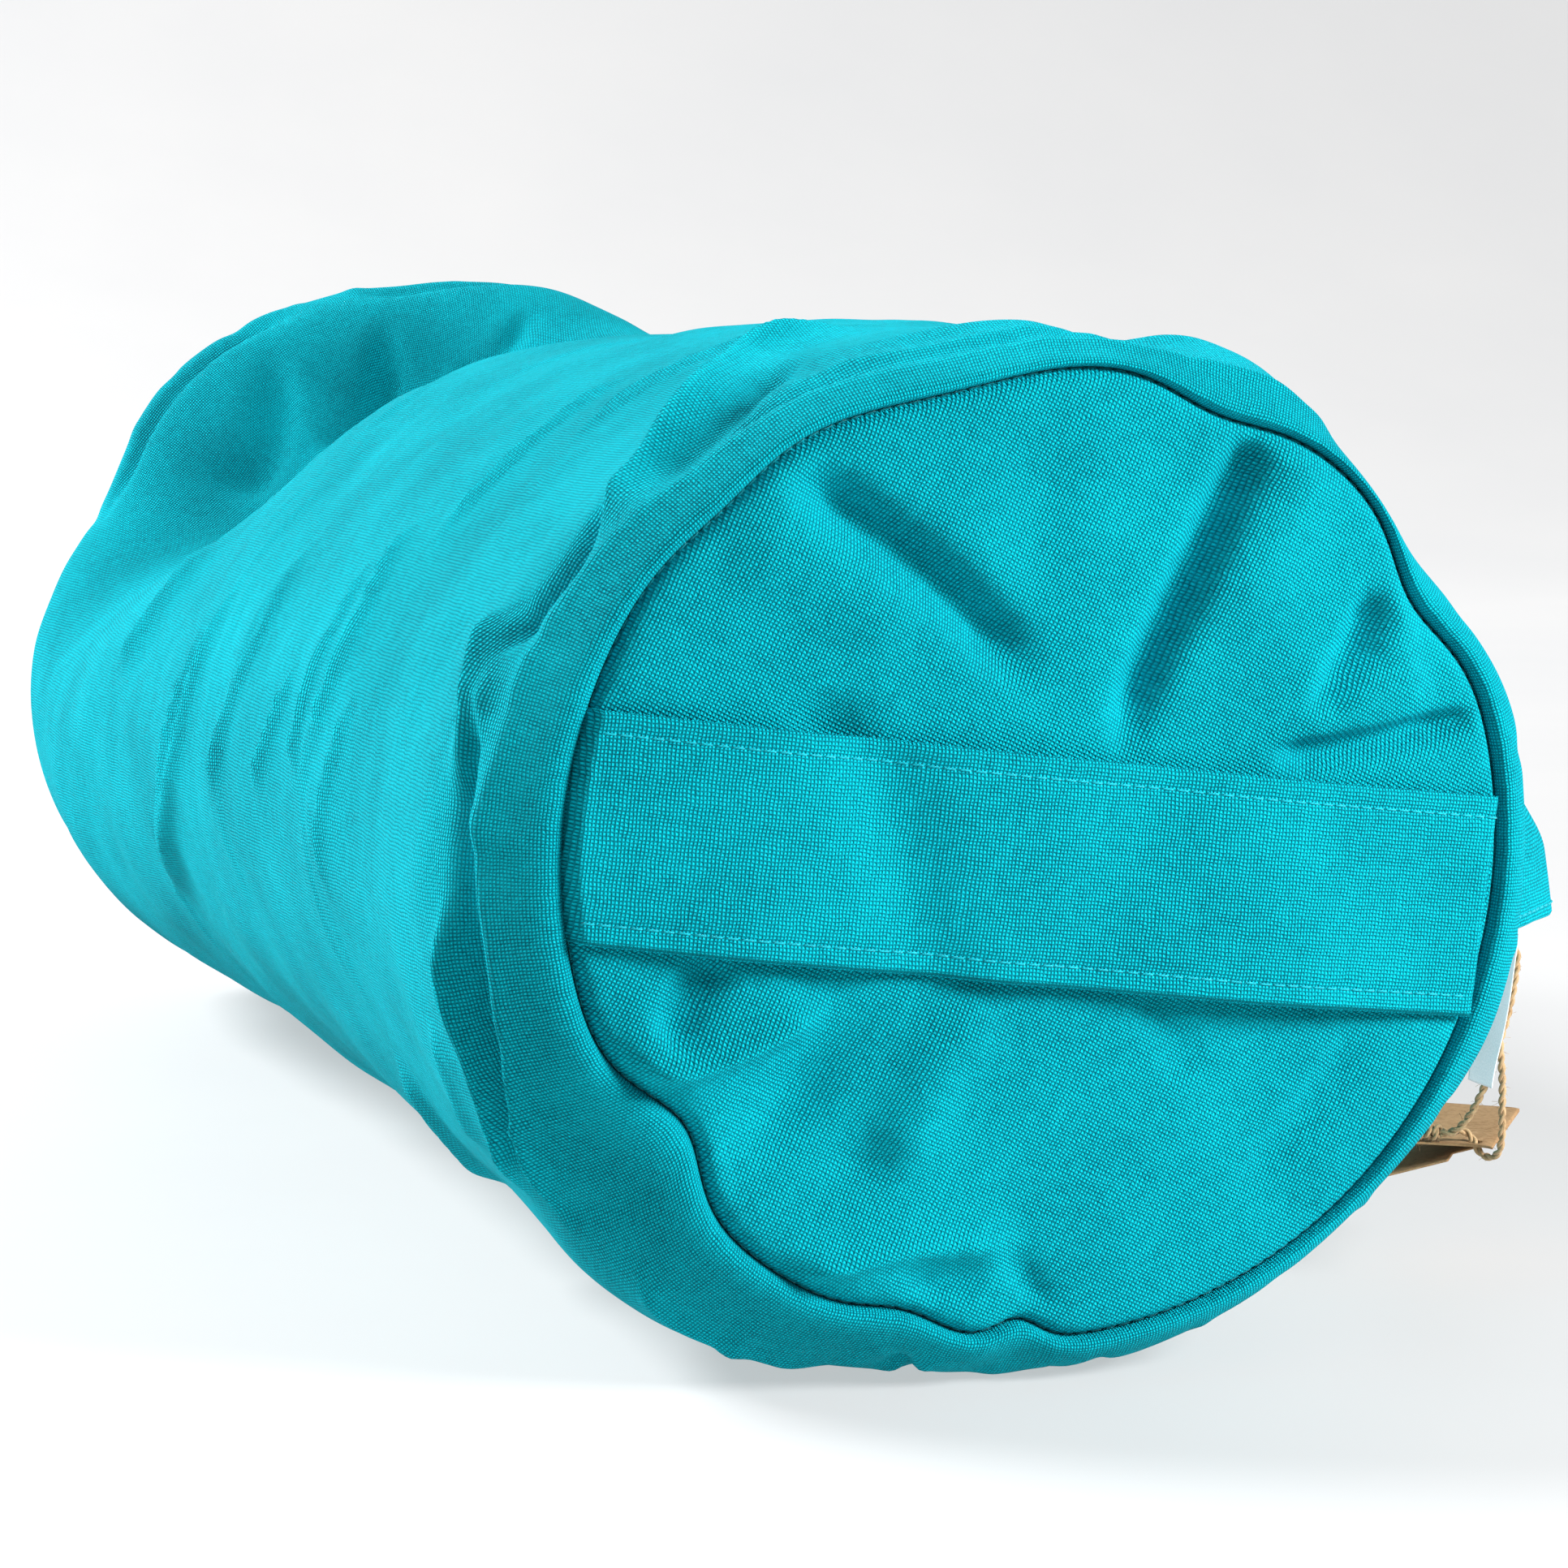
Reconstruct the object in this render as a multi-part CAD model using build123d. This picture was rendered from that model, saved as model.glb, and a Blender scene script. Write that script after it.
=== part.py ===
from build123d import *
import math
import os

os.makedirs("parts", exist_ok=True)

# Round yoga bolster lying on its side. Millimetres, +Z up, the bolster's length along Y.
# The origin is on the floor, under the middle. The carry strap is on the end at -Y and
# the zip runs along the +X side.

# ---- Driving dimensions ------------------------------------------------------------
LENGTH = 600.0              # end panel to end panel
HALF_WIDTH = 125.0          # the filled body spreads a little under its own weight
HALF_HEIGHT = 113.4         # half height of the section before the floor flattens it
FLOOR_FLAT = 4.8            # how far the floor flattens the underside
END_RADIUS = 101.0          # cut radius of the round end panels, at their seam
END_ROUNDING = 30.0         # length over which the side turns in to the end seam
CANVAS = 1.0                # thickness of the cover's cotton canvas

STRAP_WIDTH = 47.0
STRAP_THICKNESS = 2.4       # canvas folded double
STRAP_HALF_CHORD = 97.5     # middle of the strap to a sewn end
STRAP_BOW = 8.0             # how far the slack strap stands off the end panel
STRAP_CLEARANCE = 0.6       # between the strap's ends and the end panel
STRAP_ROLL = 7.0            # degrees the bolster has rolled from upright
STITCH_INSET = 4.5          # stitch row from an edge
THREAD = 0.5

ZIP_Z = 99.0                # height of the zip's centre line
ZIP_START = -256.0          # top stops, closed end of the zip
ZIP_END = 216.0             # bottom stop
SLOT_HALF_HEIGHT = 8.0      # half the opening in the side panel in front of the zip
SLOT_PAST_ZIP = 6.0
TAPE_WIDTH = 12.0
TAPE_THICKNESS = 0.6
TAPE_DEPTH = 1.7            # tape's inner face below the cover's outer face
COIL_RADIUS = 0.65
COIL_OFFSET = 1.25          # coil centre from the zip's centre line

SLIDER_Y = -248.0
SLIDER_LENGTH = 12.0
SLIDER_WIDTH = 8.0
BRIDGE_X = 127.7            # middle of the slider's bridge, where the pull hangs
RING_WIRE = 0.8
TAB_WIDTH = 7.0
TAB_THICKNESS = 1.2
TAB_TOP = 95.2
TAB_BOTTOM = 76.6
TAB_TWINE_HOLE_Z = 80.0

FLAP_TOP = (126.6, 118.0)   # X and Z of the sewn edge of the flap over the zip
FLAP_HEM = (131.8, 88.0)    # X and Z of its free hem
FLAP_THICKNESS = 1.6
FLAP_START = -253.0
FLAP_END = 240.0

LABEL_TOP = (122.9, 84.5)   # X and Z of the label's sewn edge
LABEL_BOTTOM = (118.0, 50.5)
LABEL_NEAR = -264.5
LABEL_WIDTH = 12.0
LABEL_THICKNESS = 0.3

LINER_INSET = 4.2           # liner below the cover's outer face, clear of the slider
LINER_CLOTH = 0.6
LAYER_GAP = 0.2

CARD_CORNER = (128.0, -243.0, 32.6)   # near corner of the folded swing tag, at its fold
CARD_ANGLE = 57.4           # degrees from +X to the fold
CARD_FOLD = 50.0
CARD_LEAF = 28.0
CARD_THICKNESS = 0.5
CARD_OPENING = 17.0         # degrees between the two leaves
CARD_HOLE_RADIUS = 1.7

TWINE = 1.8                 # two-ply jute
KNOT_RADIUS = 2.1
KNOT_LENGTH = 7.0
TAIL_LENGTH = 9.0

AXIS_Z = HALF_HEIGHT - FLOOR_FLAT
HALF_LENGTH = LENGTH / 2


# ---- Shared shapes -----------------------------------------------------------------
def save(shape, node):
    """Write one sub-part to its own file, as one solid or as a group of them."""
    solids = shape.solids()
    export_step(solids[0] if len(solids) == 1 else Compound(children=solids), f"parts/{node}.step")


def cross_plane(y):
    """Plane across the bolster at y, centred on its axis, its local X along +X."""
    return Plane(origin=(0, y, AXIS_Z), x_dir=(1, 0, 0), z_dir=(0, 1, 0))


def block(x0, x1, y0, y1, z0, z1):
    """Box between two corners."""
    size = (x1 - x0, y1 - y0, z1 - z0)
    return Pos((x0 + x1) / 2, (y0 + y1) / 2, (z0 + z1) / 2) * Box(*size)


def end_sections(inset):
    """Ellipses (y, half width, half height) from the end seam out to the full body."""
    turn_x = HALF_WIDTH - END_RADIUS - inset
    turn_z = HALF_HEIGHT - END_RADIUS - inset
    turn_y = END_ROUNDING - inset
    steps = 5
    found = []
    for step in range(steps + 1):
        angle = math.radians(90 * step / steps)
        y = HALF_LENGTH - inset - turn_y * (1 - math.cos(angle))
        found.append((y, END_RADIUS + turn_x * math.sin(angle), END_RADIUS + turn_z * math.sin(angle)))
    return found


def barrel(inset):
    """Body of the bolster, drawn in by inset on every side, flat where it lies on the floor."""
    sections = end_sections(inset)
    ring = [cross_plane(-y) * Ellipse(rx, rz) for y, rx, rz in sections]
    ring += [cross_plane(y) * Ellipse(rx, rz) for y, rx, rz in reversed(sections)]
    body = loft(ring, ruled=True)
    floor = block(-HALF_WIDTH, HALF_WIDTH, -HALF_LENGTH, HALF_LENGTH, -HALF_HEIGHT, inset)
    return body - floor


def end_disc(y0, y1, radius):
    """Round cloth end between two planes across the bolster."""
    return extrude(cross_plane(y0) * Circle(radius), amount=y1 - y0)


def tube_of_cloth(inset, cloth):
    """Side cloth of a cover or liner, without its round ends."""
    shell = barrel(inset) - barrel(inset + cloth)
    for side in (-1, 1):
        outer = side * (HALF_LENGTH - inset)
        shell -= end_disc(outer, outer - side * cloth, END_RADIUS)
    return shell


def skin_strip(below, thickness, z0, z1, y0, y1):
    """Strip on the +X side that follows the body's curve, its outer face 'below' under it."""
    outer = Ellipse(HALF_WIDTH - below, HALF_HEIGHT - below)
    inner = Ellipse(HALF_WIDTH - below - thickness, HALF_HEIGHT - below - thickness)
    ring = extrude(cross_plane(y0) * (outer - inner), amount=y1 - y0)
    return ring & block(0, 2 * HALF_WIDTH, y0, y1, z0, z1)


def rod(x, y0, y1, z, radius):
    """Round rod along Y."""
    section = Plane(origin=(x, y0, z), x_dir=(1, 0, 0), z_dir=(0, 1, 0)) * Circle(radius)
    return extrude(section, amount=y1 - y0)


def sheet_between(top, bottom, thickness, y0, y1):
    """Flat cloth strip along Y between two (X, Z) edges, its thickness added outward."""
    outline = Polyline(
        (top[0], y0, top[1]),
        (bottom[0], y0, bottom[1]),
        (bottom[0] + thickness, y0, bottom[1]),
        (top[0] + thickness, y0, top[1]),
        close=True,
    )
    return extrude(make_face(outline), amount=y1 - y0, dir=(0, 1, 0))


# ---- Cover -------------------------------------------------------------------------
def make_side_panel():
    slot = block(
        HALF_WIDTH - 10, HALF_WIDTH + 10,
        ZIP_START - SLOT_PAST_ZIP, ZIP_END + SLOT_PAST_ZIP,
        ZIP_Z - SLOT_HALF_HEIGHT, ZIP_Z + SLOT_HALF_HEIGHT,
    )
    return tube_of_cloth(0, CANVAS) - slot


def make_end_panel(side):
    gap = 0.1
    outer = side * HALF_LENGTH
    return end_disc(outer, outer - side * CANVAS, END_RADIUS - gap)


def make_end_stitching(side):
    """Thread round the end seam, just inside the panel's edge."""
    outer = side * HALF_LENGTH
    thread_radius = END_RADIUS - 0.5
    ring = Circle(thread_radius) - Circle(thread_radius - THREAD)
    return extrude(cross_plane(outer) * ring, amount=side * THREAD / 2)


# ---- Carry strap -------------------------------------------------------------------
def strap_band(inner_lift, outer_lift, z0, z1):
    """Bowed band between two lifts off the end panel and two heights about the strap's middle."""
    base = -HALF_LENGTH - STRAP_CLEARANCE
    near, far = base - inner_lift, base - outer_lift
    chord = STRAP_HALF_CHORD
    outline = [
        ThreePointArc((-chord, near), (0, near - STRAP_BOW), (chord, near)),
        Line((chord, near), (chord, far)),
        ThreePointArc((chord, far), (0, far - STRAP_BOW), (-chord, far)),
        Line((-chord, far), (-chord, near)),
    ]
    band = extrude(make_face(outline), amount=z1 - z0)
    return Pos(0, 0, AXIS_Z) * Rot(0, STRAP_ROLL, 0) * Pos(0, 0, z0) * band


def make_carry_strap():
    return strap_band(0, STRAP_THICKNESS, -STRAP_WIDTH / 2, STRAP_WIDTH / 2)


def make_strap_stitching():
    row = STRAP_WIDTH / 2 - STITCH_INSET
    rows = [
        strap_band(STRAP_THICKNESS, STRAP_THICKNESS + THREAD / 2, z - THREAD / 2, z + THREAD / 2)
        for z in (-row, row)
    ]
    return Compound(children=rows)


# ---- Zip ---------------------------------------------------------------------------
def make_zip_tape(side):
    edge = 0.65
    z0, z1 = sorted((ZIP_Z + side * edge, ZIP_Z + side * (edge + TAPE_WIDTH)))
    return skin_strip(TAPE_DEPTH - TAPE_THICKNESS, TAPE_THICKNESS, z0, z1, ZIP_START, ZIP_END)


def coil_x():
    """X of the coils' centre, lying on the curved outer faces of the tapes."""
    tape_face = HALF_WIDTH - TAPE_DEPTH + TAPE_THICKNESS
    curve = 0.3
    return tape_face - curve + COIL_RADIUS


def make_zip_coil(side):
    return rod(coil_x(), ZIP_START, ZIP_END, ZIP_Z + side * COIL_OFFSET, COIL_RADIUS)


def make_zip_top_stops():
    """Two metal clips, one past the end of each coil."""
    clips = [rod(coil_x(), ZIP_START - 2.5, ZIP_START, ZIP_Z + side * COIL_OFFSET, 0.9) for side in (-1, 1)]
    return Compound(children=clips)


def make_zip_bottom_stop():
    return block(coil_x() - 1, coil_x() + 1, ZIP_END, ZIP_END + 3, ZIP_Z - 2.4, ZIP_Z + 2.4)


def make_zip_bartacks():
    """Dense thread bars that close the side panel at both ends of the zip."""
    bars = []
    for y in (ZIP_START - SLOT_PAST_ZIP - 3, ZIP_END + SLOT_PAST_ZIP + 1):
        bars.append(skin_strip(-0.4, 0.4, ZIP_Z - 6, ZIP_Z + 6, y, y + 2))
    return Compound(children=[bar.solid() for bar in bars])


def make_zip_slider():
    """Two plates joined by a neck between the coils, and a bridge that holds the pull."""
    half = SLIDER_LENGTH / 2
    outer_face = HALF_WIDTH + 0.8
    inner_face = HALF_WIDTH - 3.4
    wide, narrow = SLIDER_WIDTH / 2, SLIDER_WIDTH / 2 - 1.2
    outline = Polyline(
        (-half, -wide * 0.6), (-half + 2.5, -wide), (half, -narrow),
        (half, narrow), (-half + 2.5, wide), (-half, wide * 0.6), close=True,
    )
    lie_flat = Plane(origin=(inner_face, SLIDER_Y, ZIP_Z), x_dir=(0, 1, 0), z_dir=(1, 0, 0))
    plate = make_face(outline)
    inner = extrude(lie_flat * plate, amount=0.7)
    outer = Pos(outer_face - inner_face - 0.65, 0, 0) * extrude(lie_flat * plate, amount=0.65)
    neck = block(inner_face, outer_face, SLIDER_Y - 5.5, SLIDER_Y - 2.5, ZIP_Z - 0.25, ZIP_Z + 0.25)
    slider = inner + outer + neck
    bridge_half, bar = 4.2, 0.4
    slider += block(
        BRIDGE_X - bar, BRIDGE_X + bar, SLIDER_Y - bridge_half, SLIDER_Y + bridge_half,
        ZIP_Z - bar, ZIP_Z + bar,
    )
    for y in (SLIDER_Y - bridge_half, SLIDER_Y + bridge_half - 2 * bar):
        slider += block(outer_face, BRIDGE_X + bar, y, y + 2 * bar, ZIP_Z - bar, ZIP_Z + bar)
    return slider


def make_pull_ring():
    """Wire ring round the bridge, through the tab's top hole."""
    reach, top, bottom = 1.15, 2.4, -5.8
    outline = FilletPolyline(
        (BRIDGE_X - reach, SLIDER_Y, ZIP_Z + top), (BRIDGE_X + reach, SLIDER_Y, ZIP_Z + top),
        (BRIDGE_X + reach, SLIDER_Y, ZIP_Z + bottom), (BRIDGE_X - reach, SLIDER_Y, ZIP_Z + bottom),
        radius=1.0, close=True,
    )
    start = outline @ 0
    section = Plane(origin=start, z_dir=outline % 0) * Circle(RING_WIRE / 2)
    return sweep(section, path=outline)


def make_pull_tab():
    """Flat tab that hangs from the ring, with a hole for the tag's twine at its lower end."""
    face = Plane(origin=(BRIDGE_X - TAB_THICKNESS / 2, SLIDER_Y, 0), x_dir=(0, 1, 0), z_dir=(1, 0, 0))
    middle = (TAB_TOP + TAB_BOTTOM) / 2
    plate = Pos(0, middle) * RectangleRounded(TAB_WIDTH, TAB_TOP - TAB_BOTTOM, 2.2)
    plate -= Pos(0, ZIP_Z - 6.7) * Circle(1.4)
    plate -= Pos(0, TAB_TWINE_HOLE_Z) * Circle(2.0)
    return extrude(face * plate, amount=TAB_THICKNESS)


# ---- Flap over the zip, and the label ---------------------------------------------
def make_zip_flap():
    return sheet_between(FLAP_TOP, FLAP_HEM, FLAP_THICKNESS, FLAP_START, FLAP_END)


def flap_point(drop):
    """X and Z on the flap's outer face, 'drop' below its sewn edge."""
    share = drop / (FLAP_TOP[1] - FLAP_HEM[1])
    return FLAP_TOP[0] + FLAP_THICKNESS + share * (FLAP_HEM[0] - FLAP_TOP[0]), FLAP_TOP[1] - drop


def make_flap_stitching():
    """Row of thread that sews the flap down, just below its fold."""
    return sheet_between(flap_point(3.0), flap_point(3.0 + THREAD), THREAD / 2, FLAP_START, FLAP_END)


def make_care_label():
    return sheet_between(LABEL_TOP, LABEL_BOTTOM, LABEL_THICKNESS, LABEL_NEAR, LABEL_NEAR + LABEL_WIDTH)


def make_label_stitching():
    share = 2.0 / (LABEL_TOP[1] - LABEL_BOTTOM[1])
    x = LABEL_TOP[0] + LABEL_THICKNESS + share * (LABEL_BOTTOM[0] - LABEL_TOP[0])
    z = LABEL_TOP[1] - 2.0
    return sheet_between((x, z), (x, z - THREAD), THREAD / 2, LABEL_NEAR + 1, LABEL_NEAR + LABEL_WIDTH - 1)


# ---- Inner pillow ------------------------------------------------------------------
def make_liner_tube():
    return tube_of_cloth(LINER_INSET, LINER_CLOTH)


def make_liner_end(side):
    gap = 0.1
    outer = side * (HALF_LENGTH - LINER_INSET)
    return end_disc(outer, outer - side * LINER_CLOTH, END_RADIUS - gap)


def make_liner_closing_seam():
    """Hand-sewn closing seam on the liner's -X side, where it was filled."""
    strip = skin_strip(LINER_INSET - THREAD / 2, THREAD / 2, AXIS_Z - 1, AXIS_Z + 1, -100, 100)
    return mirror(strip, about=Plane.YZ)


def make_filling():
    return barrel(LINER_INSET + LINER_CLOTH + LAYER_GAP)


# ---- Swing tag ---------------------------------------------------------------------
def card_plane(tilt):
    """Plane of one leaf: local X along the fold, local Y across the leaf."""
    turned = Plane(origin=CARD_CORNER, x_dir=fold_direction(), z_dir=(0, 0, 1))
    return turned * Location((0, 0, 0), (-tilt, 0, 0))


def fold_direction():
    angle = math.radians(CARD_ANGLE)
    return math.cos(angle), math.sin(angle), 0


def make_card_upper_leaf():
    leaf = Pos(CARD_FOLD / 2, CARD_LEAF / 2) * Rectangle(CARD_FOLD, CARD_LEAF)
    leaf -= Pos(4.0, 4.5) * Circle(CARD_HOLE_RADIUS)
    return extrude(Plane(card_plane(0)) * leaf, amount=CARD_THICKNESS)


def make_card_lower_leaf():
    """Lower leaf, cut away at the corner that the twine goes round."""
    clear_of_fold = 1.8
    notch = 9.0
    outline = Polyline(
        (notch, clear_of_fold), (CARD_FOLD, clear_of_fold), (CARD_FOLD, CARD_LEAF),
        (0, CARD_LEAF), (0, notch + 2), (notch, notch + 2), close=True,
    )
    return extrude(Plane(card_plane(CARD_OPENING)) * make_face(outline), amount=-CARD_THICKNESS)


def fitted_radii(points):
    """Largest tangent arc that each corner's two runs allow."""
    radii = []
    for before, corner, after in zip(points, points[1:], points[2:]):
        a, b = Vector(corner) - Vector(before), Vector(after) - Vector(corner)
        half_turn = math.radians(a.get_angle(b)) / 2
        radii.append(0.45 * min(a.length, b.length) / math.tan(half_turn))
    return radii


def twine_tube(name, points):
    radii = fitted_radii(points)
    path = FilletPolyline(*points, radius=radii)
    section = Plane(origin=path @ 0, z_dir=path % 0) * Circle(TWINE / 2)
    tube = sweep(section, path=path)
    expected = math.pi * (TWINE / 2) ** 2 * path.length
    print(name, "length", round(path.length, 1), "radii", [round(r, 1) for r in radii])
    print(name, "volume", round(tube.volume, 1), "expected", round(expected, 1))
    return tube


# The twine hangs doubled through the tab's lower hole, so both strands start at the top
# of that loop. The front strand ends in the knot on the card; the back strand goes round
# the card's corner, up through its hole and into the knot as well.
LOOP_TOP = (BRIDGE_X, SLIDER_Y, 79.6)
FRONT_STRAND = [
    LOOP_TOP, (129.4, -248.0, 79.6), (130.7, -248.0, 78.3), (130.9, -247.9, 75.4),
    (130.4, -247.4, 70.0), (129.3, -246.8, 63.0), (127.4, -245.8, 56.2), (126.0, -244.9, 49.8),
    (124.3, -243.4, 44.2), (123.0, -241.4, 40.0), (121.6, -239.3, 36.9), (119.98, -237.15, 35.3),
    (118.34, -236.1, 35.3),
]
BACK_STRAND = [
    LOOP_TOP, (126.0, -248.0, 79.6), (124.7, -248.1, 78.3), (124.6, -248.2, 75.4),
    (125.2, -248.4, 70.0), (126.5, -248.4, 63.0), (127.0, -248.1, 56.0), (128.1, -247.3, 49.0),
    (128.5, -246.5, 42.5), (128.9, -245.9, 37.0), (129.0, -245.2, 33.2), (128.7, -243.6, 30.9),
    (127.8, -240.9, 30.0), (126.7, -238.3, 31.0), (126.1, -236.9, 33.6), (124.9, -236.1, 35.3),
    (123.0, -235.9, 35.6), (121.0, -235.55, 35.3), (119.36, -234.5, 35.3),
]


def knot_centre():
    return Vector(115.9, -233.4, CARD_CORNER[2] + CARD_THICKNESS + KNOT_RADIUS + 0.1)


def make_twine_knot():
    """Whipped knot that lies on the upper leaf, across the fold's direction, and its short tail."""
    along = Vector(*fold_direction()).rotate(Axis.Z, 90)
    start = knot_centre() - along * (KNOT_LENGTH / 2)
    knot = extrude(Plane(origin=start, z_dir=along) * Circle(KNOT_RADIUS), amount=KNOT_LENGTH)
    tail_start = start + along * (KNOT_LENGTH - 0.5)
    tail = extrude(Plane(origin=tail_start, z_dir=along) * Circle(TWINE / 2), amount=TAIL_LENGTH)
    return knot + tail


# ---- Write every sub-part ----------------------------------------------------------
NEAR, FAR = -1, 1
save(make_side_panel(), "side_panel")
save(make_end_panel(NEAR), "near_end_panel")
save(make_end_panel(FAR), "far_end_panel")
save(make_end_stitching(NEAR), "near_seam_stitching")
save(make_end_stitching(FAR), "far_seam_stitching")
save(make_carry_strap(), "carry_strap")
save(make_strap_stitching(), "strap_stitching")
for side_name, side in (("lower", -1), ("upper", 1)):
    save(make_zip_tape(side), f"zip_tape_{side_name}")
    save(make_zip_coil(side), f"zip_coil_{side_name}")
save(make_zip_top_stops(), "zip_top_stops")
save(make_zip_bottom_stop(), "zip_bottom_stop")
save(make_zip_bartacks(), "zip_bartacks")
save(make_zip_slider(), "zip_slider")
save(make_pull_ring(), "pull_ring")
save(make_pull_tab(), "pull_tab")
save(make_zip_flap(), "zip_flap")
save(make_flap_stitching(), "flap_stitching")
save(make_care_label(), "care_label")
save(make_label_stitching(), "label_stitching")
save(make_liner_tube(), "liner_tube")
save(make_liner_end(NEAR), "liner_near_end")
save(make_liner_end(FAR), "liner_far_end")
save(make_liner_closing_seam(), "liner_closing_seam")
save(make_filling(), "hull_filling")
save(make_card_upper_leaf(), "card_upper_leaf")
save(make_card_lower_leaf(), "card_lower_leaf")
save(twine_tube("front strand", FRONT_STRAND), "twine_front_strand")
save(twine_tube("back strand", BACK_STRAND), "twine_back_strand")
save(make_twine_knot(), "twine_knot")
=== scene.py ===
import math

import bmesh
import bpy
import numpy as np
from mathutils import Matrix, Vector


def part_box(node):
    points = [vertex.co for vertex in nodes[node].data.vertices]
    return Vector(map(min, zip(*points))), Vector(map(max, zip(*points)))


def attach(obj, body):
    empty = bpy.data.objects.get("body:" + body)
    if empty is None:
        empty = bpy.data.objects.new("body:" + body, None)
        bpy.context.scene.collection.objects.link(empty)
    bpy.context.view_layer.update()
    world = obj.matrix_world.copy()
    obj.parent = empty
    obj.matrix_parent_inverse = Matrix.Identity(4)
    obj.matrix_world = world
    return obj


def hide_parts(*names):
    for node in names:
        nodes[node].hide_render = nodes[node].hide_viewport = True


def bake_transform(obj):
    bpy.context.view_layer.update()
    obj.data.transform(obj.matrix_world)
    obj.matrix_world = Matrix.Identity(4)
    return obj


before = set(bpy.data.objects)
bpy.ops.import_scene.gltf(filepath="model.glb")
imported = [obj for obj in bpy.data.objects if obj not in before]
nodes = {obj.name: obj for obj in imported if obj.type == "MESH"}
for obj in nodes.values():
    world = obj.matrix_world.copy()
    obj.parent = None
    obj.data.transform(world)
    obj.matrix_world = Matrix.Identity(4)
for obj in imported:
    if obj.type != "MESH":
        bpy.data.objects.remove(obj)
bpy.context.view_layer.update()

# ---- Sizes, in metres unless a name says millimetres or degrees ---------------------
MM = 0.001
side_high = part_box("side_panel")[1]
HALF_LENGTH = side_high.y
HALF_WIDTH = side_high.x
HALF_HEIGHT = 0.1134
AXIS_Z = side_high.z - HALF_HEIGHT
LENGTH_MM = 600               # the side cloth from seam to seam
ROUNDING_MM = 30.0            # length over which each end of it closes in to the seam
SEAM_RADIUS = 0.1015
SEAM_RISE = 0.0025            # the end seam's centre above the body's axis
SEAM_RECESS = 0.0045          # the seam line lies this far inside the ends
MM_PER_DEGREE = 2.1           # along the body's surface
WRAP_RADIUS = 0.1195          # the radius that turns degrees round the body into metres of cloth
ROLL_REACH = 0.0052           # how far the rolls beside the end seams lean out over them
ROLL_TURN = 27.0              # mm, the radius of the turn of the side cloth into an end seam
SEAM_PUFF = 4.8               # mm, the end cloth's steep rise beside its seam
MIDDLE_PUFF = 4.6             # mm, its further rise to the middle
MOST_PUFF = 15.5              # mm
END_WEAVE_TURN = math.radians(28)
CANVAS_THICKNESS = 0.0009
FLOOR_EASE = 0.004            # the cloth nears the floor in a curve from this far off it

THREAD_PITCH = 0.00078
STITCH_LENGTH = 0.0026
STITCH_GAP = 0.0007
STITCH_THICKNESS = 0.00045

STRAP_HALF_CHORD = 0.0975
STRAP_HALF_WIDTH = 0.0235
STRAP_THICKNESS = 0.0024
STRAP_BOW = 0.008
STRAP_STANDOFF = 0.0006
STRAP_BACK = HALF_LENGTH + STRAP_STANDOFF
STRAP_ROLL = math.radians(7)
STRAP_STITCH_INSET = 0.0045
STRAP_TUCK = 0.006            # how much of the left end is caught in the seam
STRAP_SINK = 0.0095           # and how deep that part goes in


# ---- Small helpers -----------------------------------------------------------------
def smoothstep(low, high, x):
    t = np.clip((x - low) / (high - low), 0, 1)
    return t * t * (3 - 2 * t)


def bell(x, centre, width):
    return np.exp(-(((x - centre) / width) ** 2))


def degrees_apart(a, b):
    return (a - b + 180) % 360 - 180


def soft_noise(u, v, seed, wrap=256):
    """Smooth random field between -1 and 1 on a lattice of unit cells, repeating after 'wrap' in u."""
    table = np.random.default_rng(seed).uniform(-1, 1, (wrap, 64))
    i, j = np.floor(u).astype(int), np.floor(v).astype(int)
    fu, fv = u - i, v - j
    fu, fv = fu * fu * (3 - 2 * fu), fv * fv * (3 - 2 * fv)
    low = table[i % wrap, j % 64] * (1 - fu) + table[(i + 1) % wrap, j % 64] * fu
    high = table[i % wrap, (j + 1) % 64] * (1 - fu) + table[(i + 1) % wrap, (j + 1) % 64] * fu
    return low * (1 - fv) + high * fv


def smooth_path(points, steps=8):
    """Points along a smooth curve through the given ones."""
    p = np.array(points, float)
    p = np.vstack([2 * p[0] - p[1], p, 2 * p[-1] - p[-2]])
    found = []
    for a, b, c, d in zip(p, p[1:], p[2:], p[3:]):
        for t in np.linspace(0, 1, steps, endpoint=False):
            bend, twist = 2 * a - 5 * b + 4 * c - d, 3 * b - a - 3 * c + d
            found.append(0.5 * (2 * b + (c - a) * t + bend * t**2 + twist * t**3))
    found.append(p[-2])
    return np.array(found)


def fold(path, height, width, tip=0.0, lean=0.0, fade=0.25):
    """One fold of a cloth along a path: a rounded hump, or a crisp one where tip is set.
    lean makes one flank steeper, and fade is the share of the length that each end tapers over."""
    return dict(path=path, height=height, width=width, tip=tip, lean=lean, fade=fade)


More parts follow.
